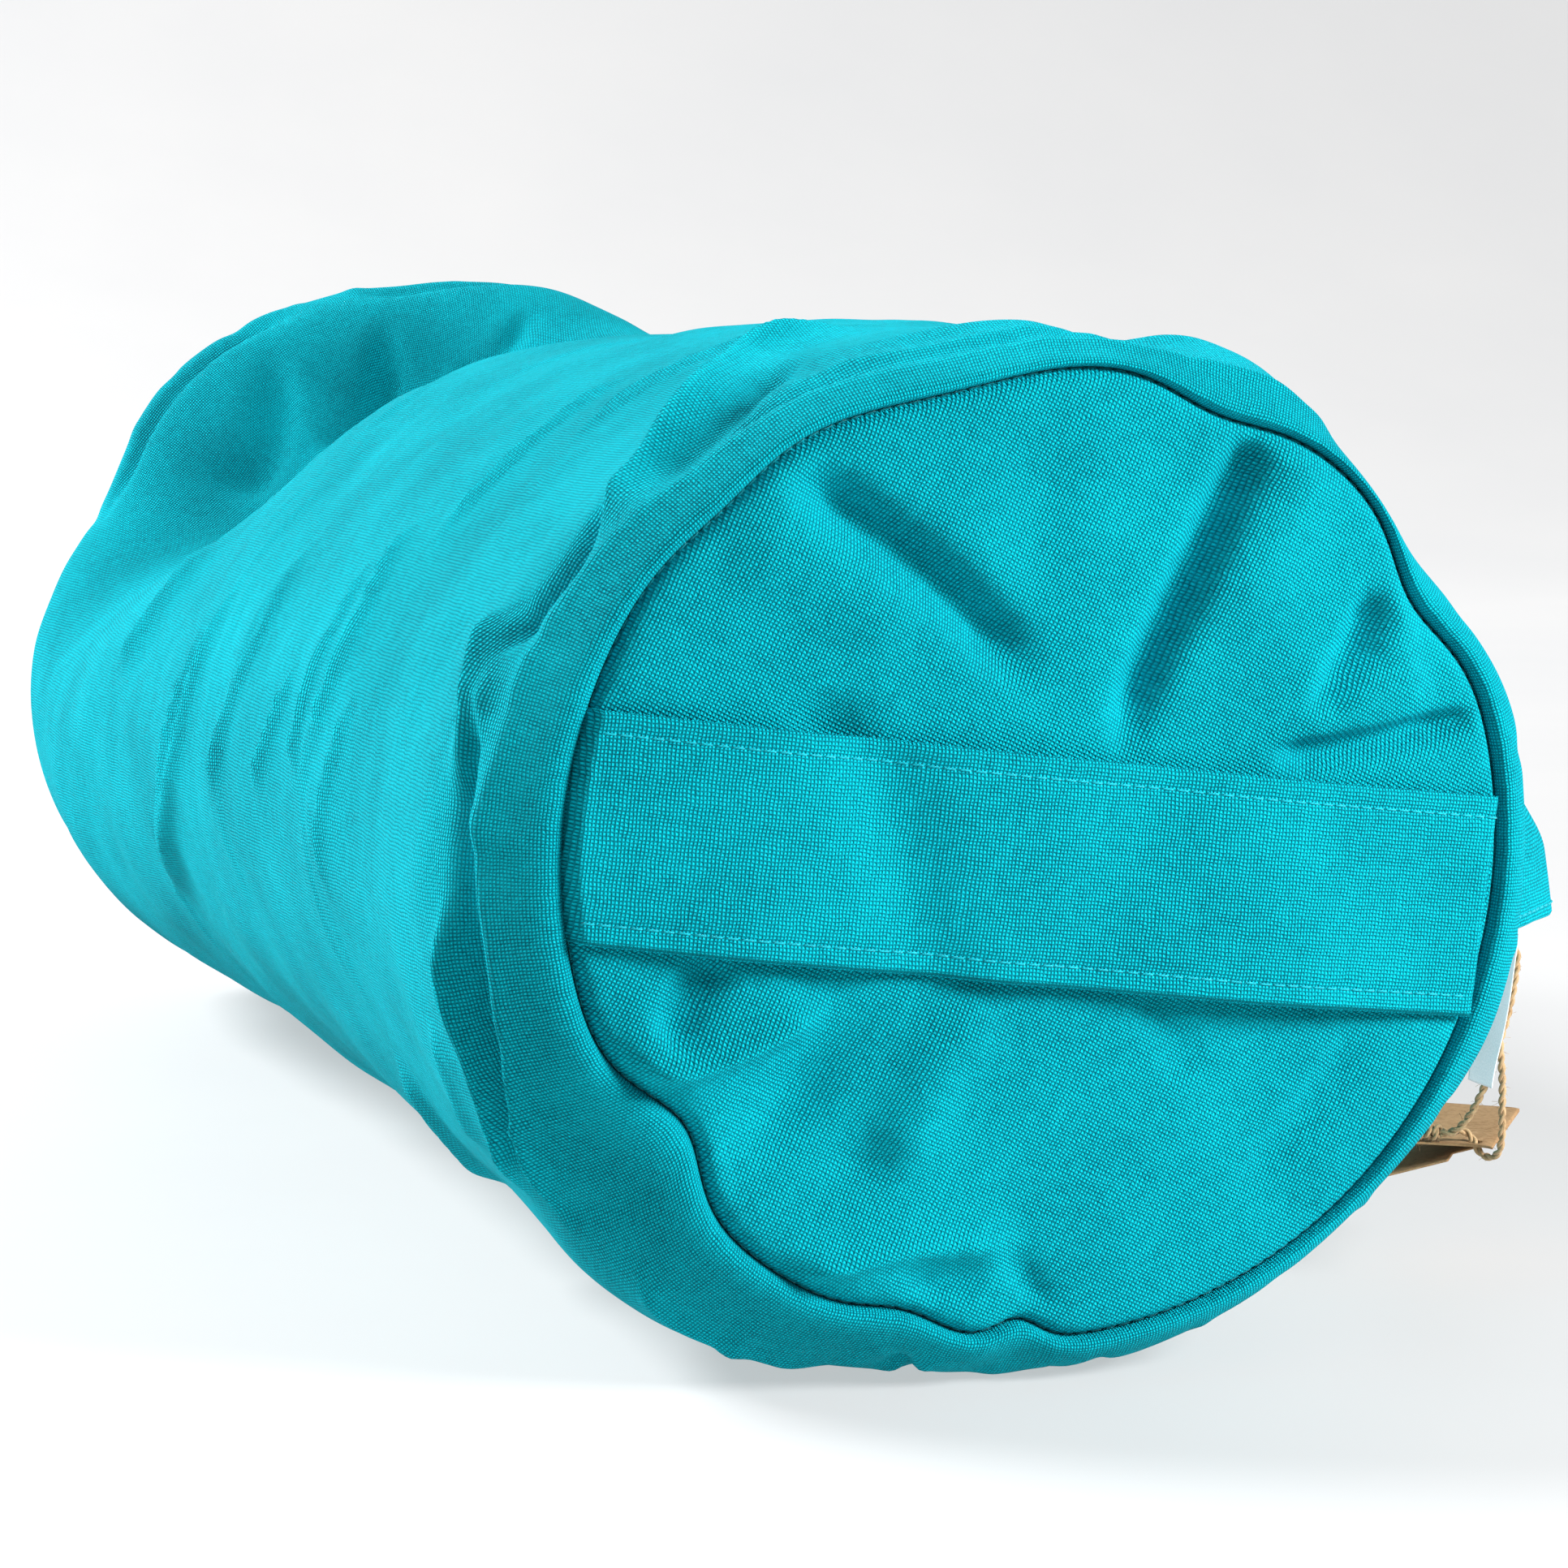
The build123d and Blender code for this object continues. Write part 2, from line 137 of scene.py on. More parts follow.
def fold_height(x, y, path, height, width, tip, lean, fade):
    """Height of one fold at the points (x, y)."""
    line = smooth_path(path)
    reach = 4.5 * width
    low, high = line.min(0) - reach, line.max(0) + reach
    near = (x > low[0]) & (x < high[0]) & (y > low[1]) & (y < high[1])
    result = np.zeros(x.shape)
    if not near.any():
        return result
    px, py = x[near], y[near]
    best = np.full(px.shape, 1e9)
    across, along = np.zeros(px.shape), np.zeros(px.shape)
    lengths = np.hypot(*np.diff(line, axis=0).T)
    starts = np.concatenate([[0], np.cumsum(lengths)])
    for a, b, length, start in zip(line, line[1:], lengths, starts):
        d = (b - a) / length
        t = np.clip((px - a[0]) * d[0] + (py - a[1]) * d[1], 0, length)
        dx, dy = px - a[0] - t * d[0], py - a[1] - t * d[1]
        distance = np.hypot(dx, dy)
        closer = distance < best
        best = np.where(closer, distance, best)
        across = np.where(closer, np.sign(d[0] * dy - d[1] * dx) * distance, across)
        along = np.where(closer, (start + t) / starts[-1], along)
    flank = width * np.where(across > 0, 1 + lean, 1 - lean)
    if tip:
        profile = np.exp(-(np.sqrt(across**2 + tip**2) - tip) / flank)
    else:
        profile = np.exp(-((across / flank) ** 2))
    profile *= smoothstep(0, fade, along) * smoothstep(0, fade, 1 - along)
    result[near] = height * profile
    return result


def new_object(name, data):
    obj = bpy.data.objects.new(name, data)
    bpy.context.scene.collection.objects.link(obj)
    return obj


def mesh_object(name, points, faces, material, uv=None):
    """Mesh piece. uv is one (u, v) in metres for each point."""
    mesh = bpy.data.meshes.new(name)
    mesh.from_pydata(np.reshape(points, (-1, 3)).tolist(), [], [list(map(int, f)) for f in faces])
    mesh.polygons.foreach_set("use_smooth", [True] * len(mesh.polygons))
    if uv is not None:
        corner = np.zeros(len(mesh.loops), int)
        mesh.loops.foreach_get("vertex_index", corner)
        layer = mesh.uv_layers.new(name="cloth")
        layer.data.foreach_set("uv", np.reshape(uv, (-1, 2))[corner].ravel())
    mesh.materials.append(material)
    mesh.update()
    return new_object(name, mesh)


def grid_faces(rows, columns, closed=False, flip=False):
    """Quads of a grid whose points run row by row. closed joins the last row to the first."""
    i = np.arange(rows if closed else rows - 1)[:, None]
    j = np.arange(columns - 1)[None, :]
    a = i * columns + j
    b = (i + 1) % rows * columns + j
    quads = np.stack([a, b, b + 1, a + 1], -1).reshape(-1, 4)
    return quads[:, ::-1] if flip else quads


def tube_points(line, radius, sides):
    """Rings of points round a line, with a frame that doesn't spin."""
    line = np.asarray(line, float)
    tangent = np.gradient(line, axis=0)
    tangent /= np.linalg.norm(tangent, axis=1)[:, None]
    helper = np.array([0.0, 0.0, 1.0]) if abs(tangent[0][2]) < 0.9 else np.array([1.0, 0.0, 0.0])
    normal = np.cross(tangent[0], helper)
    angles = np.linspace(0, 2 * math.pi, sides, endpoint=False)
    rings = []
    for p, t in zip(line, tangent):
        normal = normal - t * normal.dot(t)
        normal /= np.linalg.norm(normal)
        side = np.cross(t, normal)
        rings.append(p + radius * (np.cos(angles)[:, None] * normal + np.sin(angles)[:, None] * side))
    return np.array(rings)


def ring_faces(rings, sides, base=0, flip=False, first_cap=True, last_cap=True):
    """Faces of a tube whose rings of points follow each other, from point number 'base' on."""
    faces = []
    for i in range(rings - 1):
        for k in range(sides):
            a, b = base + i * sides + k, base + i * sides + (k + 1) % sides
            faces.append((a, b, b + sides, a + sides))
    if first_cap:
        faces.append(tuple(range(base + sides - 1, base - 1, -1)))
    if last_cap:
        faces.append(tuple(range(base + (rings - 1) * sides, base + rings * sides)))
    return [(face[0],) + face[:0:-1] for face in faces] if flip else faces


def tube_mesh(lines, radius, sides):
    """Points and faces of closed tubes along several lines."""
    points, faces = [], []
    count = 0
    for line in lines:
        rings = tube_points(line, radius, sides)
        points.append(rings.reshape(-1, 3))
        faces += ring_faces(len(rings), sides, count)
        count += len(points[-1])
    return np.concatenate(points), faces


def tube_object(name, lines, radius, sides, material):
    return mesh_object(name, *tube_mesh(lines, radius, sides), material)


def along_line(line, step):
    """The same line with points evenly spaced by about 'step'."""
    line = np.asarray(line, float)
    lengths = np.concatenate([[0], np.cumsum(np.linalg.norm(np.diff(line, axis=0), axis=1))])
    places = np.linspace(0, lengths[-1], max(3, int(lengths[-1] / step) + 1))
    return np.stack([np.interp(places, lengths, line[:, k]) for k in range(3)], -1)


def stitches(line, lift, thread=STITCH_THICKNESS, stitch=STITCH_LENGTH, gap=STITCH_GAP):
    """Lines of single stitches along a line on a surface. Each one dips in at both its ends along -lift."""
    step = 0.0004
    line = along_line(line, step)
    per = max(4, int(round(stitch / step)))
    pause = max(1, int(round(gap / step)))
    found = []
    lift = np.asarray(lift, float)
    for start in range(0, len(line) - per, per + pause):
        span = line[start : start + per + 1]
        t = np.linspace(-1, 1, len(span))[:, None]
        found.append(span + lift * thread * (0.42 - 0.75 * t**4))
    return found


def weld(obj, distance=0.00002):
    work = bmesh.new()
    work.from_mesh(obj.data)
    bmesh.ops.remove_doubles(work, verts=work.verts, dist=distance)
    work.to_mesh(obj.data)
    work.free()


def thicken(obj, thickness, offset):
    solid = obj.modifiers.new("thickness", "SOLIDIFY")
    solid.thickness = thickness
    solid.offset = offset


def stand_in(obj, body, node):
    """Ties a piece to a body, and hides the CAD node that it replaces, if any."""
    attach(obj, body)
    if node:
        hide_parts(node)


# ---- Materials ---------------------------------------------------------------------
class Nodes:
    """A material's node tree, with short calls for the nodes that several finishes share."""

    def __init__(self, name, roughness, sheen=0.0, specular=0.3, metallic=0.0, sheen_tint=(1, 1, 1)):
        self.material = bpy.data.materials.new(name)
        self.material.use_nodes = True
        self.tree = self.material.node_tree
        self.shader = self.tree.nodes["Principled BSDF"]
        self.shader.inputs["Roughness"].default_value = roughness
        self.shader.inputs["Specular IOR Level"].default_value = specular
        self.shader.inputs["Metallic"].default_value = metallic
        self.shader.inputs["Sheen Weight"].default_value = sheen
        self.shader.inputs["Sheen Roughness"].default_value = 0.4
        self.shader.inputs["Sheen Tint"].default_value = (*sheen_tint, 1)

    def add(self, kind, **settings):
        node = self.tree.nodes.new(kind)
        for key, value in settings.items():
            setattr(node, key, value)
        return node

    def link(self, source, target):
        if isinstance(source, (int, float)):
            target.default_value = source
        else:
            self.tree.links.new(source, target)

    def math(self, operation, a, b=0.0):
        node = self.add("ShaderNodeMath", operation=operation)
        self.link(a, node.inputs[0])
        self.link(b, node.inputs[1])
        return node.outputs[0]

    def place(self):
        return self.add("ShaderNodeTexCoord").outputs["Object"]

    def noise(self, vector, scale, detail=2.0, roughness=0.5):
        node = self.add("ShaderNodeTexNoise")
        self.link(vector, node.inputs["Vector"])
        node.inputs["Scale"].default_value = scale
        node.inputs["Detail"].default_value = detail
        node.inputs["Roughness"].default_value = roughness
        return node.outputs["Fac"]

    def ramp(self, factor, stops):
        node = self.add("ShaderNodeValToRGB")
        self.link(factor, node.inputs["Fac"])
        elements = node.color_ramp.elements
        while len(elements) < len(stops):
            elements.new(0.5)
        for element, (place, colour) in zip(elements, stops):
            element.position = place
            element.color = (*colour, 1)
        return node.outputs["Color"]

    def bump(self, height, distance):
        node = self.add("ShaderNodeBump")
        node.inputs["Distance"].default_value = distance
        node.inputs["Strength"].default_value = 1.0
        self.link(height, node.inputs["Height"])
        return node.outputs["Normal"]

    def finish(self, colour, normal=None, roughness=None):
        self.link(colour, self.shader.inputs["Base Color"])
        if normal is not None:
            self.link(normal, self.shader.inputs["Normal"])
        if roughness is not None:
            self.link(roughness, self.shader.inputs["Roughness"])
        return self.material


def mixed(a, b, share):
    return tuple(x * (1 - share) + y * share for x, y in zip(a, b))


def woven(name, light, dark, pitch, depth):
    """Plain weave from the cloth's own UVs, which are in metres: threads that cross over and under. Its
    colour runs from the thread colour on their tops to painted shade in the gaps between them, with random
    tone over it.
    """
    n = Nodes(name, 0.9, 0.3, 0.06, sheen_tint=light)
    uv = n.add("ShaderNodeUVMap", uv_map="cloth")
    wander = n.noise(uv.outputs["UV"], 190.0, 2.0)
    split = n.add("ShaderNodeSeparateXYZ")
    n.link(uv.outputs["UV"], split.inputs[0])
    slip = n.math("MULTIPLY", n.math("SUBTRACT", wander, 0.5), 1.1 * pitch)
    u = n.math("ADD", split.outputs["X"], slip)
    v = n.math("SUBTRACT", split.outputs["Y"], slip)
    turn = math.pi / pitch
    cross = n.math("MULTIPLY", n.math("COSINE", n.math("MULTIPLY", u, turn)),
                   n.math("COSINE", n.math("MULTIPLY", v, turn)))
    over = n.math("MAXIMUM", cross, 0.0)
    under = n.math("MULTIPLY", n.math("MAXIMUM", n.math("MULTIPLY", cross, -1.0), 0.0), 0.5)
    weave = n.math("ADD", over, under)
    thick = n.noise(uv.outputs["UV"], 1.0 / (3.2 * pitch), 2.0, 0.6)
    fibre = n.noise(uv.outputs["UV"], 2.6 / pitch, 3.0, 0.7)
    height = n.math("ADD", n.math("MULTIPLY", weave, n.math("ADD", thick, 0.45)),
                    n.math("MULTIPLY", fibre, 0.35))
    normal = n.bump(height, depth)
    cloudy = n.noise(uv.outputs["UV"], 22.0, 3.0, 0.6)
    # Colour from the weave's height: painted shade in the gaps between threads, plus random tone from the
    # noises.
    shade = n.math("ADD", n.math("MULTIPLY", weave, 0.62), n.math("MULTIPLY", thick, 0.3))
    shade = n.math("ADD", shade, n.math("MULTIPLY", n.math("SUBTRACT", cloudy, 0.5), 0.3))
    shade = n.math("ADD", shade, n.math("MULTIPLY", n.math("SUBTRACT", fibre, 0.5), 0.3))
    middle = mixed(dark, light, 0.62)
    colour = n.ramp(shade, [(0.1, dark), (0.44, middle), (0.92, light)])
    return n.finish(colour, normal)


def thread_finish(name, light, dark):
    """Sewing thread: a fine twist and a soft sheen."""
    n = Nodes(name, 0.7, 0.2, 0.12)
    twist = n.noise(n.place(), 2600.0, 2.0)
    return n.finish(n.ramp(twist, [(0.3, dark), (0.7, light)]), n.bump(twist, 0.00008))


def fibrous(name, light, dark, scale, depth, roughness=0.85, stretch=(1, 1, 1), sheen=0.0):
    """Pulp, jute or other matter with fine fibres and flecks."""
    n = Nodes(name, roughness, sheen, 0.2)
    place = n.place()
    scaled = n.add("ShaderNodeMapping")
    scaled.inputs["Scale"].default_value = stretch
    n.link(place, scaled.inputs["Vector"])
    fine = n.noise(scaled.outputs[0], scale, 5.0, 0.7)
    broad = n.noise(place, scale / 14, 2.0)
    shade = n.math("ADD", n.math("MULTIPLY", fine, 0.7), n.math("MULTIPLY", broad, 0.3))
    return n.finish(n.ramp(shade, [(0.32, dark), (0.52, mixed(dark, light, 0.7)), (0.7, light)]),
                    n.bump(fine, depth))


def metal_finish(name, colour, worn):
    """Plated zinc with faint scratches and dulled patches."""
    n = Nodes(name, 0.3, 0.0, 0.5, 1.0)
    patches = n.noise(n.place(), 320.0, 4.0, 0.65)
    rough = n.math("ADD", n.math("MULTIPLY", patches, 0.3), 0.16)
    return n.finish(n.ramp(patches, [(0.35, worn), (0.6, colour)]), n.bump(patches, 0.00004), rough)


def plastic_finish(name, light, dark, roughness):
    """Nylon or lacquer with a slight grain."""
    n = Nodes(name, roughness, 0.0, 0.45)
    grain = n.noise(n.place(), 900.0, 3.0, 0.6)
    return n.finish(n.ramp(grain, [(0.35, dark), (0.65, light)]), n.bump(grain, 0.00005))


# The second colour given to each woven cloth (canvas, tape, liner) is painted shade for the gaps between
# its threads.
TEAL_LIGHT = (0.002, 0.78, 0.94)
TEAL_GAP_SHADE = (0.0, 0.11, 0.15)
canvas = woven("canvas_teal", TEAL_LIGHT, TEAL_GAP_SHADE, THREAD_PITCH, 0.00062)
tape_cloth = woven("zip_tape_cloth", (0.005, 0.40, 0.47), (0.0, 0.15, 0.18), 0.0005, 0.00010)
liner_cotton = woven("liner_cotton", (0.83, 0.79, 0.70), (0.52, 0.47, 0.38), 0.0005, 0.0001)
teal_thread = thread_finish("thread_teal", (0.004, 0.54, 0.65), (0.0, 0.26, 0.32))
# A darker copy of the teal thread for the end seams: painted shade of the seam's groove.
seam_thread = thread_finish("thread_teal_seam_shade", (0.0, 0.30, 0.36), (0.0, 0.14, 0.17))
white_thread = thread_finish("thread_white", (0.86, 0.86, 0.82), (0.62, 0.62, 0.58))
jute = fibrous("jute", (0.62, 0.44, 0.24), (0.27, 0.15, 0.065), 1500.0, 0.00012, 0.9, (1, 1, 0.25), 0.3)
kraft = fibrous("kraft_card", (0.50, 0.31, 0.155), (0.27, 0.145, 0.062), 700.0, 0.00005, 0.8)
hulls = fibrous("hulls", (0.12, 0.07, 0.04), (0.03, 0.017, 0.01), 300.0, 0.0008, 0.5)
plated = metal_finish("zip_metal", (0.72, 0.72, 0.70), (0.42, 0.42, 0.41))
lacquer = plastic_finish("pull_tab_lacquer", (0.34, 0.72, 0.68), (0.22, 0.56, 0.54), 0.35)
nylon = plastic_finish("zip_coil_nylon", (0.01, 0.42, 0.50), (0.0, 0.27, 0.33), 0.42)


# ---- Shape of the cover ------------------------------------------------------------
# How far the crest has sunk below a full round body, as (mm from the middle, mm down).
CREST_DROP = [(-300, 2), (-200, 5), (-100, 7), (0, 11), (60, 16), (100, 22), (150, 32), (200, 43),
              (222, 47), (236, 45), (247, 33), (257, 15), (267, 4), (280, 0), (300, 0)]
# Places where the end seam is drawn in: degrees round from +X, depth and width in mm.
SEAM_DIPS = [(102, 5, 16), (68, 4.5, 9), (33, 6, 9), (-93, 4.5, 4), (-108, 3.5, 7), (-147, 9, 9),
             (132, 2.5, 9)]

# Where the filling has settled: degrees round, mm from the near seam, the two widths, and mm outward.
SETTLED = [(42, 24, 15, 34, -15), (-48, 26, 26, 40, -10), (8, 16, 24, 20, -5), (231, 34, 14, 40, 5),
           (205, 500, 22, 110, 9), (156, 575, 16, 70, -11), (70, 560, 14, 60, 5), (23, 24, 8, 20, -9),
           (0, 18, 26, 16, -5), (79, 24, 7, 26, -4), (63, 22, 8, 20, 3)]

# Folds of the side cloth: points as (degrees round, mm from the near seam), height and width in mm.
NEAR_FOLDS = [
    fold([(50, 5), (75, 4), (103, 3), (120, 3), (134, 3.5), (147, 4.5), (158, 5), (166, 4.5), (177, 6),
          (187, 5), (196, 6.5), (203, 10), (210, 14), (220, 20)], 5.4, 2.4, tip=0.5, fade=0.08),
    fold([(98, 70), (105, 66), (110, 61), (114, 55), (118, 44), (125, 27), (134, 15), (141, 10), (149, 7)],
         7.0, 4.6, tip=0.5, fade=0.22),
    fold([(112, 38), (119, 24), (127, 14), (138, 8)], -5.5, 5.6),
    fold([(70, 16), (88, 11), (102, 7), (114, 9.5), (123, 13)], 2.9, 2.6, tip=0.8),
    fold([(62, 30), (80, 22), (96, 17), (110, 22)], 2.0, 4.0),
    fold([(138, 16), (145, 11), (152, 11.5), (159, 15)], -5.5, 2.8),
    fold([(152, 26), (158, 19), (163, 15), (168, 13), (173, 12)], 4.6, 2.6, tip=0.5),
    fold([(158, 13), (164, 10.5), (171, 8), (177, 6)], 2.9, 1.8, tip=0.6),
    fold([(180, 14), (190, 16), (197, 15), (203, 17), (209, 21), (215, 26)], 5.0, 3.0, tip=0.5),
    fold([(162, 12), (172, 10), (184, 9.5), (194, 10.5), (202, 13), (210, 19)], -5.6, 2.8, fade=0.12),
    fold([(84, 9), (100, 4.5), (116, 6), (128, 8), (136, 7)], -2.4, 1.8),
    fold([(194, 32), (202, 36), (210, 45)], 2.4, 5.0, tip=1.5),
    fold([(222, 8), (230, 12), (240, 11), (250, 16)], 4.1, 4.0, tip=1.0),
    fold([(252, 4), (257, 12), (262, 24)], -4.6, 3.0),
    fold([(264, 5), (269, 14), (272, 26)], 3.5, 4.0),
    fold([(276, 3), (279, 12), (281, 22)], -3.8, 3.0),
]
BODY_FOLDS = [
    fold([(146, 150), (154, 139), (162, 135), (168, 137), (176, 143)], 3.1, 2.6, tip=0.8),
    fold([(150, 165), (160, 156), (170, 155), (181, 162)], 2.5, 2.4, tip=0.8),
    fold([(166, 186), (173, 193), (182, 206)], 2.5, 2.2, tip=0.7),
    fold([(165, 112), (172, 117), (181, 123), (190, 126)], 2.1, 2.6, tip=0.9),
    fold([(158, 300), (168, 296), (179, 304), (190, 330), (204, 372)], 3.4, 3.2, tip=1.0),
    fold([(160, 318), (172, 314), (184, 326), (196, 352), (206, 384)], 2.8, 2.6, tip=0.8),
    fold([(150, 250), (162, 240), (176, 246), (190, 262)], 2.1, 3.4),
    fold([(118, 130), (128, 121), (140, 118), (150, 122)], 2.0, 3.0),
    fold([(98, 110), (110, 96), (122, 90), (134, 92)], 2.1, 3.6),
    fold([(154, 400), (161, 394), (168, 401), (178, 420)], 4.6, 5.0, tip=1.5),
    fold([(205, 120), (216, 126), (228, 140)], 2.9, 5.0),
]
DENT_FOLDS = [
    fold([(96, 560), (106, 545), (116, 538), (124, 543)], -4.8, 5.0),
    fold([(84, 548), (95, 536), (104, 533)], 3.6, 4.0),
    fold([(116, 562), (126, 551), (137, 546), (147, 552)], -4.2, 5.0),
    fold([(72, 556), (80, 546), (90, 545)], -3.4, 4.0),
    fold([(108, 572), (125, 574), (142, 574), (160, 575)], -4.5, 3.2),
    fold([(60, 578), (84, 575), (104, 574)], -2.8, 3.4),
]
# Folds of the near end, as (X, height) points in mm; heights outward.
END_FOLDS = [
    fold([(-58, 192), (-44, 183), (-32, 174), (-20, 164), (-8, 151), (-2, 144)], -8.5, 5.4),
    fold([(-70, 176), (-52, 171), (-40, 163), (-30, 150)], 2.2, 8.0),
    fold([(47, 206), (43, 192), (37, 181), (31, 169), (19, 146), (13, 128)], -9.5, 4.2),
    fold([(58, 200), (55, 186), (46, 168), (38, 150)], 2.2, 8.0),
    fold([(45, 131), (58, 131.5), (73, 133.5), (88, 136.5), (98, 138)], -6.5, 3.0, lean=-0.35),
    fold([(52, 141), (68, 143), (86, 146)], 3.2, 6.0),
    fold([(72, 166), (69, 158), (64, 149), (55, 137)], -5.2, 3.8, lean=0.2),
    fold([(84, 170), (78, 158), (72, 148)], 2.0, 5.0),
    fold([(0, 198), (-4, 182), (-4, 166), (-10, 146)], -2.0, 9.0),
    fold([(-47, 150), (-48, 134), (-49, 120), (-46, 106)], -4.0, 8.0),
    fold([(-99, 73), (-91, 71), (-83, 70), (-76, 71), (-64, 75), (-53, 80), (-46, 85)],
         7.0, 4.6, tip=0.8, lean=0.45),
    fold([(-34, 84), (-48, 72), (-55, 64), (-62, 56), (-67, 48), (-72, 40)], -6.5, 8.0, fade=0.5),
    fold([(-22, 64), (-40, 53), (-50, 45), (-60, 38)], -3.4, 9.0, fade=0.5),
    fold([(-12, 84), (-18, 77), (-25, 69), (-31, 56), (-38, 46)], 3.8, 7.0),
    fold([(-62, 24), (-46, 28), (-32, 31), (-18, 31), (-4, 32)], 4.6, 3.6, tip=0.7, lean=0.3),
    fold([(-34, 20), (-24, 23), (-10, 27)], -2.8, 5.0, fade=0.4),
    fold([(-70, 94), (-76, 86), (-80, 80), (-84, 76)], -5.0, 4.5),
    fold([(70, 74), (62, 62), (52, 50), (40, 38)], -2.2, 4.5, lean=0.3),
    fold([(18, 84), (26, 74), (30, 62)], -2.0, 5.0),
    fold([(-10, 31), (-2, 20), (2, 14)], -2.2, 3.4, fade=0.4),
]
FAR_END_FOLDS = [
    fold([(-60, 180), (-40, 160), (-22, 150)], -4.5, 6.0),
    fold([(40, 196), (34, 172), (22, 150)], -4.0, 6.0),
    fold([(88, 130), (64, 122), (44, 124)], -3.0, 5.0),
    fold([(-92, 96), (-66, 88), (-44, 92)], 3.0, 6.0),
    fold([(-60, 36), (-40, 48), (-24, 66)], -3.6, 7.0),
    fold([(54, 40), (40, 56), (30, 76)], -3.0, 6.0),
    fold([(-20, 30), (0, 34), (24, 30)], 2.4, 5.0),
    fold([(4, 200), (0, 176), (4, 156)], 2.2, 8.0),
]


def random_puckers(seed, count, size, far):
    """Short gathers that run in from an end seam."""
    draw = np.random.default_rng(seed)
    found = []
    for k in range(count):
        angle = 360 * k / count + draw.uniform(-5, 5)
        run = draw.uniform(10, 34)
        bend = draw.uniform(-5, 5)
        ys = [LENGTH_MM - s if far else s for s in (0.5, run * 0.5, run)]
        found.append(fold([(angle, ys[0]), (angle + bend * 0.4, ys[1]), (angle + bend, ys[2])],
                          size * draw.uniform(0.6, 1.5) * draw.choice([-1, 1]), draw.uniform(2.4, 4.5)))
    return found


def random_rings(seed, count):
    """Fine wrinkles that run round the body."""
    draw = np.random.default_rng(seed)
    found = []
    for _ in range(count):
        angle, s, span = draw.uniform(0, 360), draw.uniform(60, 540), draw.uniform(18, 50)
        drift = draw.uniform(-10, 10)
        found.append(fold([(angle, s), (angle + span / 2, s + drift * 0.2), (angle + span, s + drift)],
                          draw.uniform(0.35, 0.9), draw.uniform(2.0, 4.0)))
    return found


def fold_sum(degrees, s, folds):
    """Total height of folds on the side cloth, each fold taken the short way round."""
    total = np.zeros(degrees.shape)
    for one in folds:
        path = one["path"]
        middle = path[len(path) // 2][0]
        x = degrees_apart(degrees, middle) * MM_PER_DEGREE
        local = [(degrees_apart(a, middle) * MM_PER_DEGREE, y) for a, y in path]
        total += fold_height(x, s, **{**one, "path": local})
    return total


def end_fold_sum(x, z, folds):
    return sum(fold_height(x, z, **one) for one in folds)


def full_radius(theta):
    return HALF_WIDTH * HALF_HEIGHT / np.hypot(HALF_HEIGHT * np.cos(theta), HALF_WIDTH * np.sin(theta))


def seam_radius(degrees, far):
    """Radius of an end seam round the body's axis."""
    radius = SEAM_RADIUS + SEAM_RISE * np.sin(np.radians(degrees))
    mirror = 180 - degrees if far else degrees
    for angle, depth, width in SEAM_DIPS:
        radius = radius - depth * MM * bell(degrees_apart(mirror, angle), 0, width) * (0.6 if far else 1)
    return radius


def crest_drop(s):
    """How far the crest has sunk, in mm, with the corners of CREST_DROP smoothed."""
    places = np.arange(-40, LENGTH_MM + 41, 2.0)
    values = np.interp(places - LENGTH_MM / 2, *np.array(CREST_DROP, float).T)
    kernel = bell(np.arange(-12, 13), 0, 3.0)
    values = np.convolve(np.pad(values, 12, mode="edge"), kernel / kernel.sum(), "valid")
    return np.interp(s, places, values)


def zip_calm(degrees, s):
    """0 over the zip and its flap, where the cloth lies smooth, and 1 elsewhere."""
    across = smoothstep(17, 27, np.abs(degrees_apart(degrees, -3)))
    along = 1 - smoothstep(8, 34, s) * (1 - smoothstep(552, 580, s))
    return np.maximum(across, along)


def roll_bulge(s):
    """The rounded roll of cloth beside an end seam, steep on the seam's side. 1 is its full height."""
    from_seam = ROLL_TURN * np.arccos(1 - np.clip(s / ROUNDING_MM, 0, 1))
    return (1 - np.exp(-from_seam / 1.3)) * bell(from_seam, 0, 16)


